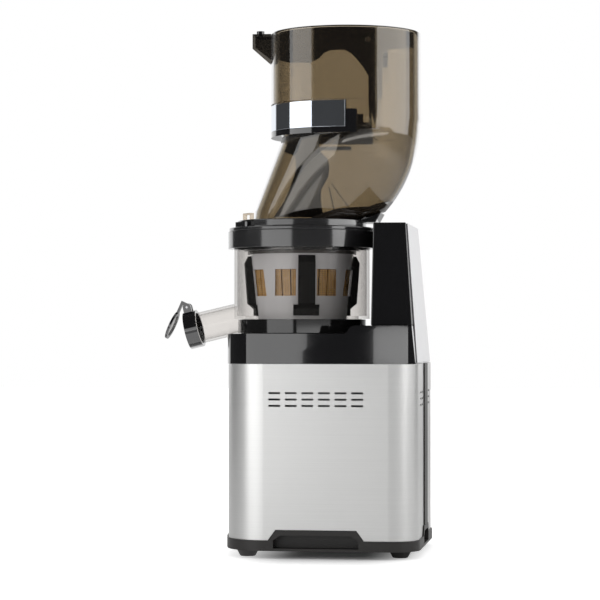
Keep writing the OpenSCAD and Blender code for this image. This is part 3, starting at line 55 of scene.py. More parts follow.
camera_turn = math.radians(8)
camera_away = 2.369
camera_sidestep = -0.0021
camera_height = 0.2207
camera_tilt = math.radians(0.872)
lens = bpy.data.cameras.new("camera")
lens.lens = 138
lens.sensor_width = 36
camera = bpy.data.objects.new("camera", lens)
bpy.context.scene.collection.objects.link(camera)
camera.location = drum_axis + Vector((
    camera_away * math.sin(camera_turn) + camera_sidestep * math.cos(camera_turn),
    -camera_away * math.cos(camera_turn) + camera_sidestep * math.sin(camera_turn),
    camera_height,
))
camera.rotation_euler = (math.pi / 2 + camera_tilt, 0, camera_turn)
bpy.context.scene.camera = camera
bpy.context.scene.view_settings.view_transform = "Standard"


# ---------------------------------------------------------------- soft light
# Soft panels stand left and right of the camera with a dark gap between them, and one large
# panel hangs above the juicer.
panel_away = 1.5


def soft_panel(name, start, end, low, high, glow):
    """Stands a soft panel between two turns, in degrees from square-on towards +X, and two heights."""
    around = math.radians((start + end) / 2)
    panel = bpy.data.lights.new(name, "AREA")
    panel.shape = "RECTANGLE"
    panel.size = 2 * panel_away * math.tan(math.radians(end - start) / 2)
    panel.size_y = high - low
    panel.energy = glow * panel.size * panel.size_y * math.pi
    stand = bpy.data.objects.new(name, panel)
    bpy.context.scene.collection.objects.link(stand)
    height = (low + high) / 2
    stand.location = drum_axis + Vector((
        panel_away * math.sin(around), -panel_away * math.cos(around), height))
    aim = drum_axis + Vector((0, 0, height)) - stand.location
    stand.rotation_euler = aim.to_track_quat("-Z", "Y").to_euler()
    stand.visible_camera = False


soft_panel("left_panel", start=-87, end=-45, low=0.48, high=1.2, glow=1.9)
soft_panel("low_left_panel", start=-56, end=-7.6, low=0, high=0.46, glow=1.7)
soft_panel("low_right_panel", start=-1.6, end=75, low=0.165, high=0.235, glow=2.4)
soft_panel("right_panel", start=55, end=118, low=0.33, high=1.2, glow=2.5)

top_side = 1.2
top_glow = 0.5
over_head = bpy.data.lights.new("top_panel", "AREA")
over_head.size = top_side
over_head.energy = top_glow * top_side ** 2 * math.pi
hung = bpy.data.objects.new("top_panel", over_head)
bpy.context.scene.collection.objects.link(hung)
hung.location = drum_axis + Vector((0, 0.25, 1.7))
hung.visible_camera = False


# ---------------------------------------------------------------- white sweep
# The juicer stands on painted board that glows softly where the camera sees it and still takes
# the juicer's cast shadow; the glow is also painted down to a painted shadow under its base.
# Whiter boards lie left and behind, for gloss surfaces that face down.
class Wire:
    """A shader socket that adds, multiplies and compares as a number does."""

    def __init__(self, nodes, socket):
        self.nodes = nodes
        self.socket = socket

    def maths(self, operation, *values):
        return self.nodes.node("ShaderNodeMath", {"operation": operation}, dict(enumerate(values)))

    def __add__(self, other):
        return self.maths("ADD", self, other)

    def __sub__(self, other):
        return self.maths("SUBTRACT", self, other)

    def __rsub__(self, other):
        return self.maths("SUBTRACT", other, self)

    def __mul__(self, other):
        return self.maths("MULTIPLY", self, other)

    def __gt__(self, other):
        return self.maths("GREATER_THAN", self, other)

    def __lt__(self, other):
        return self.maths("LESS_THAN", self, other)

    def __abs__(self):
        return self.maths("ABSOLUTE", self)

    __radd__ = __add__
    __rmul__ = __mul__

    def power(self, other):
        return self.maths("POWER", self, other)

    def or_more(self, other):
        return self.maths("MAXIMUM", self, other)

    def rise(self, start, end, low=0.0, high=1.0):
        """Climbs smoothly from low to high while the value goes from start to end."""
        return self.nodes.node("ShaderNodeMapRange", {"interpolation_type": "SMOOTHSTEP"},
                               {0: self, 1: start, 2: end, 3: low, 4: high})

    def part(self, axis):
        """A vector's share along X, Y or Z."""
        return self.nodes.node("ShaderNodeSeparateXYZ", None, {0: self}, axis)


class Nodes:
    """A shader's node tree, to which a node is added with its settings and its links."""

    def __init__(self, tree):
        self.tree = tree

    def node(self, kind, settings=None, values=None, output=0):
        made = self.tree.nodes.new(kind)
        for name, value in (settings or {}).items():
            setattr(made, name, value)
        for key, value in (values or {}).items():
            if isinstance(value, Wire):
                self.tree.links.new(value.socket, made.inputs[key])
            else:
                made.inputs[key].default_value = value
        return Wire(self, made.outputs[output])


class Finish(Nodes):
    """A procedural surface finish, built node by node on one Principled shader."""

    def __init__(self, name, colour, roughness, **plain):
        self.material = bpy.data.materials.new(name)
        self.material.use_nodes = True
        super().__init__(self.material.node_tree)
        self.shader = self.tree.nodes["Principled BSDF"]
        self.shader.inputs["Base Color"].default_value = (*colour, 1)
        self.shader.inputs["Roughness"].default_value = roughness
        for socket, value in plain.items():
            self.shader.inputs[socket.replace("_", " ")].default_value = value

    def place(self, stretch=(1, 1, 1)):
        """Object coordinates, in metres, stretched along each axis."""
        here = self.node("ShaderNodeTexCoord", output="Object")
        return self.node("ShaderNodeMapping", {"vector_type": "POINT"}, {"Vector": here, "Scale": stretch})

    def noise(self, scale, detail=3, stretch=(1, 1, 1), rough=0.5):
        values = {"Vector": self.place(stretch), "Scale": scale, "Detail": detail, "Roughness": rough}
        return self.node("ShaderNodeTexNoise", None, values)

    def waves(self, direction, scale):
        values = {"Vector": self.place(), "Scale": scale}
        return self.node("ShaderNodeTexWave", {"bands_direction": direction}, values)

    def feed(self, socket, wire):
        self.tree.links.new(wire.socket, self.shader.inputs[socket])

    def tint(self, mask, dark, light):
        """Mixes two colours by a mask into the base colour."""
        blend = self.node("ShaderNodeMix", {"data_type": "RGBA"}, {0: mask, 6: (*dark, 1), 7: (*light, 1)}, 2)
        self.feed("Base Color", blend)

    def bump(self, height, depth, strength=1.0):
        values = {"Height": height, "Distance": depth, "Strength": strength}
        self.feed("Normal", self.node("ShaderNodeBump", None, values))


sweep = Finish("white_sweep", (0.85, 0.85, 0.85), 0.9)
seen_plainly = sweep.node("ShaderNodeLightPath", output="Is Camera Ray")
mirrored = sweep.node("ShaderNodeLightPath", output="Is Glossy Ray")
seen_through = sweep.node("ShaderNodeLightPath", output="Is Transmission Ray")
spot = sweep.place()
reach = sweep.node("ShaderNodeVectorMath", {"operation": "LENGTH"}, {0: spot}, "Value")
across = spot.part("X")
along = spot.part("Y")

# Painted shadow: the glow drops to shadow_least under and round the juicer's base, and otherwise rises from
# 0.75 near the juicer to 1.05 further out.
shadow_middle = 0.045
shadow_least = 0.02
clear_of_painted_shadow_across = abs(across - shadow_middle).rise(0.03, 0.12)
clear_of_painted_shadow_along = abs(along).rise(0.06, 0.22)
clear_of_painted_shadow = 1 - (1 - clear_of_painted_shadow_across) * (1 - clear_of_painted_shadow_along)
sweep_glow = reach.rise(0.22, 0.75, 0.75, 1.05) * clear_of_painted_shadow + shadow_least

board_glow = 0.9
bare_glow = 0.04
turn = across.maths("ARCTAN2", across, 0 - along)
left_board = (turn < -0.26) * (turn > -1.6)
far_boards = (turn > 2.5) + (turn < -2.5)
from_above = sweep.node("ShaderNodeLayerWeight", None, {"Blend": 0.5}, "Facing") < 0.62
sweep_mirrored = (left_board + far_boards) * from_above * board_glow + bare_glow

seen = seen_plainly.or_more(seen_through)
glow = seen * sweep_glow + (1 - seen) * mirrored * sweep_mirrored
sweep.feed("Emission Color", glow)
sweep.shader.inputs["Emission Strength"].default_value = 1
bpy.ops.mesh.primitive_plane_add(size=14, location=(0, 0, -0.0003))
floor = bpy.context.object
floor.name = "floor"
floor.data.materials.append(sweep.material)


# ---------------------------------------------------------------- room
# Round the sweep the room is white behind the juicer and dark in front of it, and its walls
# give a little even light.
fill_light = 0.42
front_dark = 0.05
straight_ahead = (-0.165, 0.986, 0)
world = bpy.data.worlds.new("studio")
bpy.context.scene.world = world
world.use_nodes = True
room = Nodes(world.node_tree)
plain_view = room.node("ShaderNodeLightPath", output="Is Camera Ray").or_more(
    room.node("ShaderNodeLightPath", output="Is Transmission Ray"))
glossy_view = room.node("ShaderNodeLightPath", output="Is Glossy Ray")
heading = room.node("ShaderNodeTexCoord", output="Generated")
ahead = room.node("ShaderNodeVectorMath", {"operation": "DOT_PRODUCT"},
                  {0: heading, 1: straight_ahead}, "Value")
walls = ahead.rise(0.73, 0.79, front_dark, 1.0)
strength = plain_view + (1 - plain_view) * (glossy_view * walls + (1 - glossy_view) * fill_light)
backdrop = world.node_tree.nodes["Background"]
backdrop.inputs["Color"].default_value = (1, 1, 1, 1)
world.node_tree.links.new(strength.socket, backdrop.inputs["Strength"])


# ---------------------------------------------------------------- plinth
# The plinth is one charcoal ABS moulding, finely grained, with arched finger grips in its sides.
# It carries the casing and everything that hangs inside it.
body_of = {node: body for body, nodes in frame["record"]["behaviour"]["bodies"].items() for node in nodes}
slot_of = {row["node"]: row["material_slot"] for row in frame["record"]["subparts"]}


def deselect():
    if bpy.context.object and bpy.context.object.mode != "OBJECT":
        bpy.ops.object.mode_set(mode="OBJECT")
    bpy.ops.object.select_all(action="DESELECT")


def keep(piece, name, finish, body, slot, *replaced):
    """Names a finished piece, gives it its finish, and ties it to its body."""
    piece.name = name
    piece.data.materials.clear()
    piece.data.materials.append(finish.material)
    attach(piece, body)
    if replaced:
        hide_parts(*replaced)
    return piece


def soften(node, name, finish, radius, segments=2):
    """Copies a moulding, rounds its sharp edges, and puts the copy in its place."""
    sharp = math.radians(32)
    deselect()
    piece = bpy.data.objects.new(name, frame["nodes"][node].data.copy())
    bpy.context.scene.collection.objects.link(piece)
    piece.select_set(True)
    bpy.context.view_layer.objects.active = piece
    bpy.ops.mesh.customdata_custom_splitnormals_clear()
    bpy.ops.object.mode_set(mode="EDIT")
    bpy.ops.mesh.select_all(action="SELECT")
    bpy.ops.mesh.remove_doubles(threshold=1e-6)
    bpy.ops.mesh.dissolve_limited(angle_limit=math.radians(0.4))
    bpy.ops.object.mode_set(mode="OBJECT")
    edge = piece.modifiers.new("edge", "BEVEL")
    edge.width = radius
    edge.segments = segments
    edge.limit_method = "ANGLE"
    edge.angle_limit = sharp
    edge.harden_normals = True
    bpy.ops.object.shade_smooth_by_angle(angle=sharp)
    bpy.ops.object.modifier_apply(modifier=edge.name)
    return keep(piece, name, finish, body_of[node], slot_of[node], node)


charcoal = Finish("charcoal_plastic", (0.020, 0.018, 0.017), 0.36)
speckle = charcoal.noise(900, 4)
charcoal.tint(speckle, (0.014, 0.013, 0.012), (0.027, 0.024, 0.023))
charcoal.feed("Roughness", speckle * 0.14 + 0.34)
charcoal.bump(speckle, 0.00006, 0.35)
soften("plinth", "plinth_moulding", charcoal, 0.0012, 3)


# ---------------------------------------------------------------- feet
# Four turned feet of black rubber taper towards the floor. Each is screwed up into a boss of the
# plinth.
rubber = Finish("foot_rubber", (0.018, 0.017, 0.017), 0.62)
dust = rubber.noise(420, 5)
rubber.tint(dust, (0.012, 0.012, 0.012), (0.030, 0.028, 0.027))
rubber.feed("Roughness", dust * 0.2 + 0.5)
rubber.bump(dust, 0.0001, 0.4)
soften("rubber_feet", "turned_feet", rubber, 0.0008)


# ---------------------------------------------------------------- screws, shafts and pins
# Screws, bearings, shafts, steel gears and hinge pins are machined from bright steel bar, and
# keep the fine rings of the lathe.
def dress(finish, *names):
    """Gives CAD nodes their finish."""
    for name in names:
        node = frame["nodes"][name]
        node.data.materials.clear()
        node.data.materials.append(finish.material)


machined = Finish("machined_steel", (0.55, 0.55, 0.56), 0.3, Metallic=1.0)
turning = machined.noise(60, 3, (1, 1, 22))
machined.tint(turning, (0.46, 0.46, 0.47), (0.64, 0.64, 0.65))
machined.feed("Roughness", turning * 0.18 + 0.22)
dress(machined, "foot_screws", "motor_rotor", "shaft_bearings", "layshaft_gears", "drive_shaft")
dress(machined, "idler_pin", "cap_pin", "gate_pin")


# ---------------------------------------------------------------- steel casing
# One sheet of stainless steel is wrapped round the base, brushed along its length, with three
# rows of vent slots punched in the long sides.
steel = Finish("brushed_steel", (0.80, 0.80, 0.79), 0.4, Metallic=1.0)
streak = steel.noise(7, 6, (1, 1, 260), 0.65)
hairline = steel.noise(16, 3, (1, 1, 520))
brushed = streak * 0.6 + hairline * 0.4
steel.tint(brushed, (0.73, 0.73, 0.72), (0.88, 0.88, 0.87))
steel.feed("Roughness", brushed * 0.12 + 0.30)
steel.bump(brushed, 0.00008, 0.35)
dress(steel, "steel_casing")


# ---------------------------------------------------------------- motor
# Hidden in the base is a side motor: an enamelled iron can, its wound copper coil, and a moulded
# fan on the rotor that draws air through the vents.
enamel = Finish("motor_iron", (0.05, 0.052, 0.056), 0.5, Metallic=0.6)
cast_skin = enamel.noise(300, 6)
enamel.tint(cast_skin, (0.035, 0.037, 0.04), (0.07, 0.073, 0.078))
enamel.bump(cast_skin, 0.0002, 0.5)
dress(enamel, "motor_can")

copper = Finish("copper_winding", (0.45, 0.18, 0.06), 0.3, Metallic=0.8)
turns = copper.waves("Z", 320.0)
copper.tint(turns, (0.30, 0.11, 0.035), (0.60, 0.26, 0.10))
copper.bump(turns, 0.0004, 0.6)
dress(copper, "motor_stator")

fan = Finish("fan_plastic", (0.04, 0.04, 0.045), 0.5)
fan_skin = fan.noise(500, 3)
fan.tint(fan_skin, (0.03, 0.03, 0.034), (0.055, 0.055, 0.06))
dress(fan, "cooling_fan")


# ---------------------------------------------------------------- gearbox
# The gearbox is a pan and a lid of sand-cast aluminium. The lid carries the deck, and a black
# seal on it wipes the drive shaft.
alloy = Finish("cast_aluminium", (0.5, 0.51, 0.52), 0.45, Metallic=1.0)
sand = alloy.noise(420, 6)
alloy.tint(sand, (0.42, 0.43, 0.44), (0.58, 0.59, 0.60))
alloy.feed("Roughness", sand * 0.25 + 0.35)
alloy.bump(sand, 0.0002, 0.5)
dress(alloy, "gearbox_pan", "gearbox_lid")

seal = Finish("seal_black", (0.022, 0.022, 0.023), 0.5)
seal_skin = seal.noise(350, 4)
seal.tint(seal_skin, (0.015, 0.015, 0.016), (0.032, 0.032, 0.033))
seal.feed("Roughness", seal_skin * 0.18 + 0.36)
dress(seal, "shaft_seal")


# ---------------------------------------------------------------- control board
# A green glass-fibre board with copper tracks under its lacquer stands on posts inside the
# casing's far wall.
board = Finish("board_green", (0.02, 0.16, 0.07), 0.35)
tracks = board.noise(260, 2, (1, 1, 3))
board.tint(tracks > 0.52, (0.015, 0.12, 0.05), (0.03, 0.2, 0.09))
dress(board, "control_board")


# ---------------------------------------------------------------- deck and tower
# Gloss black ABS: the deck caps the casing and steps up to the tower beside the drum. Both keep
# the faint ripple of the mould.
gloss = Finish("black_gloss", (0.006, 0.006, 0.007), 0.06, Coat_Weight=1.0, Coat_Roughness=0.02, IOR=1.55)
ripple = gloss.noise(36, 2)
gloss.feed("Roughness", gloss.noise(700, 3) * 0.05 + 0.04)
gloss.bump(ripple, 0.00002, 0.2)
soften("deck_housing", "deck_moulding", gloss, 0.0011, 3)
soften("tower_cover", "tower_moulding", gloss, 0.0015, 3)


# ---------------------------------------------------------------- front panel and end strip
# A leaning panel in fine silver paint closes the end of the tower. A narrow charcoal strip is
# pressed on down the casing's flat end.
silver = Finish("silver_panel", (0.78, 0.78, 0.79), 0.32, Metallic=0.25)
flake = silver.noise(2600, 2)
silver.tint(flake, (0.72, 0.72, 0.735), (0.84, 0.84, 0.845))
silver.feed("Roughness", flake * 0.1 + 0.28)
soften("front_plate", "front_panel", silver, 0.0008, 3)
dress(charcoal, "end_strip")


# ---------------------------------------------------------------- switch and mains inlet
# On the far side a gloss rocker tips in a charcoal bezel, and three brass pins stand in the
# moulded mains inlet below it.
dress(gloss, "rocker_switch")
dress(charcoal, "mains_inlet", "switch_bezel")

pins = Finish("brass_pins", (0.72, 0.52, 0.22), 0.25, Metallic=1.0)
pins.feed("Roughness", pins.noise(500, 3) * 0.2 + 0.15)
dress(pins, "inlet_pins")


# ---------------------------------------------------------------- deck seam shade
# A thin ring of black silicone lies on the deck under the drum's base and closes the gap between
# the two. It is a dark piece put in that seam as painted shade.
seam_shade_r = 0.0625
seam_shade_z = 0.2224
deselect()
bpy.ops.mesh.primitive_torus_add(major_segments=96, minor_segments=12, major_radius=seam_shade_r,
                                 minor_radius=0.0003, location=(drum_axis.x, 0, seam_shade_z))
seam_shade_ring = bpy.context.object
bpy.ops.object.mode_set(mode="EDIT")
bpy.ops.mesh.select_all(action="SELECT")
bpy.ops.transform.resize(value=(1, 1, 1.15), center_override=(drum_axis.x, 0, seam_shade_z))
bpy.ops.object.mode_set(mode="OBJECT")
bpy.ops.object.transform_apply(location=True, rotation=True, scale=True)
bpy.ops.object.shade_smooth()
keep(seam_shade_ring, "deck_seam_shade", seal, "base", "seal_black")


# ---------------------------------------------------------------- drum base and pulp spout
# The drum stands on a black moulded base, which turns the pulp into a covered spout on the far
# side.
drum_black = Finish("drum_black", (0.008, 0.008, 0.008), 0.08, Coat_Weight=0.6, Coat_Roughness=0.04)
drum_black.feed("Roughness", drum_black.noise(500, 3) * 0.08 + 0.06)
soften("drum_base", "drum_base_moulding", drum_black, 0.0008)
dress(drum_black, "pulp_spout")


# ---------------------------------------------------------------- juice drum and spout cap
# The drum with its juice spout is one moulding of clear copolyester, and the spout's cap is a
# clear disc.
def see_through(name, passing, skin, skin_share, roughness=0.05, ior=1.9, edge_highlight_paint=0.0, level_shade_paint=0.0):
    """A clear plastic: a tinted film that lets the background through, under a glossy skin.

    The edge highlight strength paints a white, metallic highlight where the surface turns away
    from the eye. The level shade strength paints level faces opaque in the dark skin colour, as
    painted shade.
    """
    finish = Finish(name, skin, roughness, IOR=ior)
    film = finish.node("ShaderNodeBsdfTransparent", None, {"Color": (*passing, 1)})
    edge = finish.node("ShaderNodeLayerWeight", None, {"Blend": 0.35}, "Facing")
    wisp = finish.noise(38, 3)
    grazing = edge.rise(0.52, 0.66)
    flat = abs(finish.node("ShaderNodeNewGeometry", output="Normal").part("Z")) > 0.6
    # Painted highlight: grazing faces that are not level are painted white and metallic.
    painted_edge_highlight = grazing * (1 - flat) * edge_highlight_paint
    finish.tint(painted_edge_highlight, skin, (0.95, 0.95, 0.95))
    finish.feed("Metallic", painted_edge_highlight)
    # The painted highlight, and the painted shade on level faces, also make those faces opaque.
    share = edge.power(2.2) * 0.75 + wisp * 0.01 + skin_share + grazing * edge_highlight_paint * 0.5 + flat * level_shade_paint
    coat = Wire(finish, finish.shader.outputs["BSDF"])
    mixed = finish.node("ShaderNodeMixShader", None, {0: share, 1: film, 2: coat})
    finish.tree.links.new(mixed.socket, finish.tree.nodes["Material Output"].inputs["Surface"])
    finish.feed("Roughness", wisp * 0.05 + roughness)
    return finish


clear = see_through("clear_plastic", (0.97, 0.96, 0.95), (0.05, 0.048, 0.045), 0.05, ior=2.4)
dress(clear, "juice_drum", "spout_cap")


# ---------------------------------------------------------------- spout collar and cap arm
# A gloss black collar is pushed over the mouth of the juice spout. The cap swings from it on a
# short black arm.
soften("spout_collar", "spout_collar_moulding", gloss, 0.0005)
dress(gloss, "cap_arm")


# ---------------------------------------------------------------- seals
# The drum's seal and the lid's gasket are rings of milky silicone. Each is pressed in where it
# is squeezed when the juicer is put together.
silicone = Finish("silicone", (0.62, 0.60, 0.56), 0.5, Subsurface_Weight=0.2)
cloud = silicone.noise(120, 3)
silicone.tint(cloud, (0.55, 0.53, 0.49), (0.70, 0.68, 0.64))
dress(silicone, "drum_seal", "lid_gasket")


# ---------------------------------------------------------------- wiper frame and blades
# A smoked frame turns inside the drum and carries soft black silicone blades that wipe the
# strainer and the drum's wall.
# The wiper frame's grazing edges get a painted highlight.
smoke_grey = see_through("smoke_grey", (0.94, 0.94, 0.95), (0.85, 0.85, 0.87), 0.72, roughness=0.2,
                         ior=1.6, edge_highlight_paint=0.8)
dress(smoke_grey, "wiper_frame")

blade_black = Finish("blade_silicone", (0.006, 0.006, 0.006), 0.55, Specular_IOR_Level=0.2)
blade_skin = blade_black.noise(260, 3)
blade_black.tint(blade_skin, (0.004, 0.004, 0.004), (0.010, 0.010, 0.010))
dress(blade_black, "wiper_blades")


# ---------------------------------------------------------------- idler gear
# One small gear of natural nylon turns on a steel pin in the drum's base. It drives the wiper
# frame backwards.
nylon = Finish("gear_nylon", (0.70, 0.68, 0.62), 0.4)
nylon_skin = nylon.noise(400, 3)
nylon.tint(nylon_skin, (0.62, 0.60, 0.55), (0.75, 0.73, 0.67))
dress(nylon, "idler_gear")


# ---------------------------------------------------------------- strainer
# The strainer is amber plastic. A band of fine mesh is set in its wall, and shows as crossed
# light and dark wires.
amber = Finish("amber_plastic", (0.50, 0.28, 0.07), 0.3)
amber_flow = amber.noise(70, 4)
height = amber.place().part("Z")
mesh_band = (height > 0.258) * (height < 0.288)
hoops = amber.waves("Z", 150.0)
wires = amber.waves("X", 120.0)
amber.tint(mesh_band * (amber_flow * 0.4 + 0.6) * (hoops * 0.35 + wires * 0.25 + 0.4),
           (0.10, 0.095, 0.09), (0.80, 0.45, 0.13))
amber.feed("Roughness", amber_flow * 0.15 + 0.2)
dress(amber, "strainer")


# ---------------------------------------------------------------- auger
# The auger is one dark grey moulding of glass-filled plastic, with faint flow marks. Its gear is
# moulded under it, and the drive shaft's hexagon turns it.
auger_grey = Finish("auger_grey", (0.05, 0.05, 0.052), 0.35)
auger_flow = auger_grey.noise(90, 4)
auger_grey.tint(auger_flow, (0.035, 0.035, 0.037), (0.065, 0.065, 0.068))
dress(auger_grey, "auger")


# ---------------------------------------------------------------- lid
# The lock ring and the lid plate are satin black mouldings with rounded rims. The ring turns
# under the drum's lugs.
satin = Finish("satin_black", (0.012, 0.012, 0.013), 0.18, Coat_Weight=1.0, Coat_Roughness=0.08,
               Specular_IOR_Level=0.8)
satin_skin = satin.noise(1100, 3)
satin.tint(satin_skin, (0.010, 0.010, 0.011), (0.020, 0.020, 0.021))
satin.feed("Roughness", satin_skin * 0.08 + 0.13)
satin.bump(satin_skin, 0.00003, 0.25)
soften("lock_ring", "lock_ring_moulding", satin, 0.0009, 3)
soften("lid_plate", "lid_moulding", satin, 0.0010, 3)


# ---------------------------------------------------------------- lid tab, catch and wedge
# On the lid stand a small clear loop and a gloss black catch block. A gloss black wedge fills
# the corner under the hopper's bend.
tab_clear = see_through("tab_clear", (0.86, 0.80, 0.72), (0.45, 0.38, 0.30), 0.15)
dress(tab_clear, "lid_tab")
dress(gloss, "tab_block")
soften("lid_wedge", "wedge_moulding", gloss, 0.0010, 3)


# ---------------------------------------------------------------- hopper
# The wide hopper is smoked copolyester: an oblique chute below, a bend, and a round cup above.
# Its wall is lofted here from ring to ring, outside first and then back down inside.
hopper_wall = 0.004
lid_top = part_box("lid_plate")[1].z
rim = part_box("hopper_shell")[1].z
cup_x = 0.0457              # from the drum's axis to the cup's
cup_r = 0.077
chute_low = lid_top + 0.0005
under = chute_low + 0.0087  # the bend starts here, above a short slope
ledge = lid_top + 0.0887    # the cup starts here
bend_top = ledge + 0.0133
bend_r = 0.138
bend_step = 0.0007
under_slope = 2.7
chute_left = -0.0519
chute_lean = 0.383
chute_half = 0.052
cup_less = 0.0028           # the chute's top is this much less than the cup's half width
seat_low, seat_high = ledge - 0.0001, ledge + 0.0296
seat_depth = 0.002
seat_end = math.radians(21)


def bend(height):
    """The bend's outside, from the drum axis, at a height."""
    if height >= bend_top:
        return cup_x + cup_r
    return cup_x + cup_r - bend_step - bend_r * (1 - math.cos(math.asin((bend_top - height) / bend_r)))


def chute_ring(height, inset=0.0):
    """A ring of the leaning chute: its height, its left and right ends and its half width."""
    rise = max(0, height - chute_low) / (ledge - chute_low)
    left = chute_left + chute_lean * (height - chute_low)
    right = bend(height) if height >= under else bend(under) - under_slope * (under - height)
    half = chute_half + (cup_r - cup_less - chute_half) * math.sin(math.pi / 2 * min(1, rise))
    return height, left + inset, right - inset, half - inset


def cup_ring(height, inset=0.0):
    return height, cup_x - cup_r + inset, cup_x + cup_r - inset, cup_r - inset


def draw_up(rings, sides):
    """Draws an elliptical wall from ring to ring, as a loft, and leaves it in edit mode."""
    deselect()
    height, left, right, half = rings[0]
    bpy.ops.mesh.primitive_circle_add(vertices=sides, radius=1)
    wall = bpy.context.object
    bpy.ops.object.mode_set(mode="EDIT")
    bpy.ops.mesh.select_all(action="SELECT")
    bpy.ops.transform.resize(value=((right - left) / 2, half, 1))
    bpy.ops.transform.translate(value=(drum_axis.x + (left + right) / 2, 0, height))
    for step in rings[1:]:
        before = height, (left + right) / 2, (right - left) / 2, half
        height, left, right, half = step
        middle = (left + right) / 2
        bpy.ops.mesh.extrude_edges_move(TRANSFORM_OT_translate={
            "value": (middle - before[1], 0, height - before[0])})
        bpy.ops.transform.resize(value=((right - left) / 2 / before[2], half / before[3], 1),
                                 center_override=(drum_axis.x + middle, 0, height))
    return wall


def spread(low, high, count):
    return [low + (high - low) * step / count for step in range(count + 1)]


outside = [chute_ring(chute_low)] + [chute_ring(z) for z in spread(under, ledge - 0.0004, 22)]
outside += [(z, cup_x - cup_r, bend(z), cup_r) for z in spread(ledge, bend_top, 4)]
outside += [cup_ring(ledge + up) for up in (0.0290, 0.0295, 0.0297, 0.0303)]
outside += [cup_ring(rim - down, inset) for down, inset in (
    (0.0016, 0), (0.0010, 0), (0.0003, 0.0003), (0, 0.0010))]
inside = [cup_ring(rim - down, hopper_wall - proud) for down, proud in (
    (0, 0.0010), (0.0010, 0), (0.0016, 0))]
inside += [cup_ring(bend_top + 0.002, hopper_wall)]
bend_foot = ledge + 0.0034
inside += [(bend_foot, cup_x - cup_r + hopper_wall, bend(bend_foot) - hopper_wall, cup_r - hopper_wall)]
inside += [chute_ring(z, hopper_wall) for z in reversed(spread(under, ledge + 0.0025, 22))]
inside += [chute_ring(chute_low, hopper_wall)]
hopper = draw_up(outside + inside, 128)
bpy.ops.mesh.select_all(action="DESELECT")
bpy.ops.mesh.select_non_manifold()
bpy.ops.mesh.bridge_edge_loops()
bpy.ops.object.mode_set(mode="OBJECT")
# The carrier's seat is moulded a little way into the cup's left half.
for vertex in hopper.data.vertices:
    from_cup = vertex.co.x - drum_axis.x - cup_x
    vertex.select = (seat_low < vertex.co.z < seat_high and from_cup < cup_r * math.sin(seat_end)
                     and math.hypot(from_cup, vertex.co.y) > cup_r - 0.001)
bpy.ops.object.mode_set(mode="EDIT")
bpy.ops.mesh.select_mode(type="VERT")
bpy.ops.transform.resize(value=(1 - seat_depth / cup_r, 1 - seat_depth / cup_r, 1),
                         center_override=(drum_axis.x + cup_x, 0, ledge))
bpy.ops.mesh.select_all(action="SELECT")
bpy.ops.mesh.normals_make_consistent(inside=False)
bpy.ops.object.mode_set(mode="OBJECT")
bpy.ops.object.shade_smooth_by_angle(angle=math.radians(30))
# The hopper gets a painted highlight on its grazing edges and painted shade on its level faces, which are
# painted opaque in the dark skin colour.
smoke_brown = see_through("smoke_brown", (0.735, 0.68, 0.585), (0.03, 0.022, 0.014), 0.16, ior=4.2,
                          edge_highlight_paint=0.9, level_shade_paint=1.0)
keep(hopper, "hopper_moulding", smoke_brown, "lid", "smoke_brown", "hopper_shell")


# ---------------------------------------------------------------- chute lining
# A gloss black lining with a short bar is pressed on the chute's near wall, and two thin satin
# ribs stand beside it.
lining_thick = 0.0012
lining_clear = 0.0006


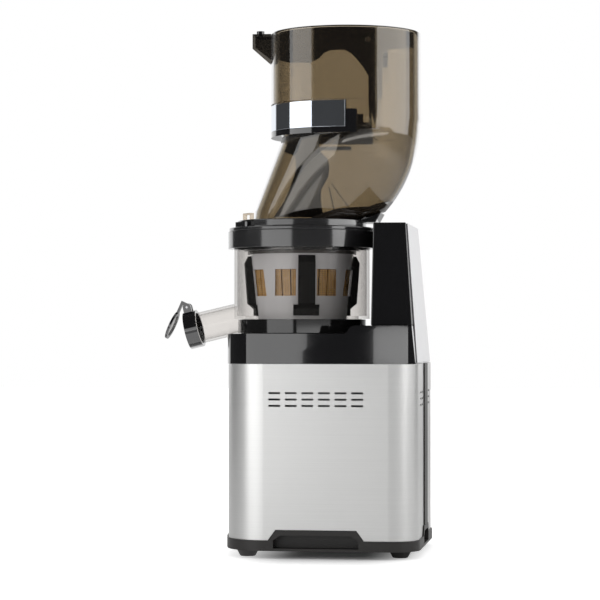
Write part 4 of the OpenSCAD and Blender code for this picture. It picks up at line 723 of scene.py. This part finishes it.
def press_on_wall(name, levels, finish, slot):
    """Cuts a plate by its height, left edge and right edge at each level, and presses it on the wall."""
    deselect()
    height, left, right = levels[0]
    bpy.ops.mesh.primitive_plane_add(size=1)
    plate = bpy.context.object
    bpy.ops.object.mode_set(mode="EDIT")
    bpy.ops.mesh.select_all(action="SELECT")
    bpy.ops.mesh.merge(type="CENTER")
    bpy.ops.transform.translate(value=(drum_axis.x + left, 0, height))
    bpy.ops.mesh.extrude_vertices_move(TRANSFORM_OT_translate={"value": (right - left, 0, 0)})
    bpy.ops.mesh.select_all(action="SELECT")
    for next_height, next_left, next_right in levels[1:]:
        bpy.ops.mesh.extrude_edges_move(TRANSFORM_OT_translate={
            "value": ((next_left + next_right - left - right) / 2, 0, next_height - height)})
        bpy.ops.transform.resize(value=((next_right - next_left) / (right - left), 1, 1), center_override=(
            drum_axis.x + (next_left + next_right) / 2, 0, next_height))
        height, left, right = next_height, next_left, next_right
    bpy.ops.mesh.select_all(action="SELECT")
    bpy.ops.mesh.subdivide(number_cuts=4)
    bpy.ops.object.mode_set(mode="OBJECT")
    pressed = plate.modifiers.new("pressed", "SHRINKWRAP")
    pressed.wrap_method = "PROJECT"
    pressed.use_project_y = True
    pressed.use_negative_direction = True
    pressed.use_positive_direction = False
    pressed.target = hopper
    pressed.offset = lining_clear
    bpy.ops.object.modifier_apply(modifier=pressed.name)
    body = plate.modifiers.new("thickness", "SOLIDIFY")
    body.thickness = lining_thick
    body.offset = 1
    bpy.ops.object.modifier_apply(modifier=body.name)
    bpy.ops.object.shade_smooth_by_angle(angle=math.radians(40))
    keep(plate, name, finish, "lid", slot)


press_on_wall("chute_lining", [
    (0.4245, -0.0060, 0.0266), (0.4120, -0.0100, 0.0266), (0.4065, -0.0125, 0.0266), (0.4010, 0.0008, 0.0310),
    (0.3965, 0.0016, 0.0356), (0.3884, 0.0023, 0.0367), (0.3795, -0.0005, 0.0356), (0.3664, -0.0060, 0.0276),
    (0.3560, -0.0110, 0.0266), (0.3400, -0.0235, 0.0286)], gloss, "black_gloss")
press_on_wall("lining_bar", [(0.4090, 0.0272, 0.0590), (0.4052, 0.0272, 0.0590)], gloss, "black_gloss")
press_on_wall("front_rib", [(0.3690, 0.0352, 0.0362), (0.3400, 0.0398, 0.0408)], satin, "satin_black")
press_on_wall("rear_rib", [(0.3725, 0.0380, 0.0390), (0.3440, 0.0570, 0.0580)], satin, "satin_black")


# ---------------------------------------------------------------- rim bracket and knob
# A hollow lip of darker smoked plastic stands out of the cup's rim above the spout, with a small
# gloss black knob on it.
# The lip's level faces are painted opaque in the dark skin colour, as painted shade.
smoke_dark = see_through("smoke_dark", (0.42, 0.40, 0.37), (0.012, 0.011, 0.010), 0.25, ior=2.4, level_shade_paint=1.0)
dress(smoke_dark, "rim_bracket")
dress(gloss, "rim_knob")


# ---------------------------------------------------------------- feed gate
# A satin black frame lines the cup's mouth, and its drop gate hangs from a steel pin across the
# feed.
soften("gate_frame", "gate_frame_moulding", satin, 0.0006)
dress(satin, "flip_gate")


# ---------------------------------------------------------------- carrier and chrome band
# A gloss black carrier is let into the cup's left half. A thin polished band, cold blue-white
# like chrome plate, is snapped round it.
dress(gloss, "hopper_carrier")
chrome = Finish("chrome", (0.82, 0.87, 0.94), 0.05, Metallic=1.0)
chrome.feed("Roughness", chrome.noise(260, 3) * 0.04 + 0.03)
soften("chrome_band", "polished_band", chrome, 0.00025)
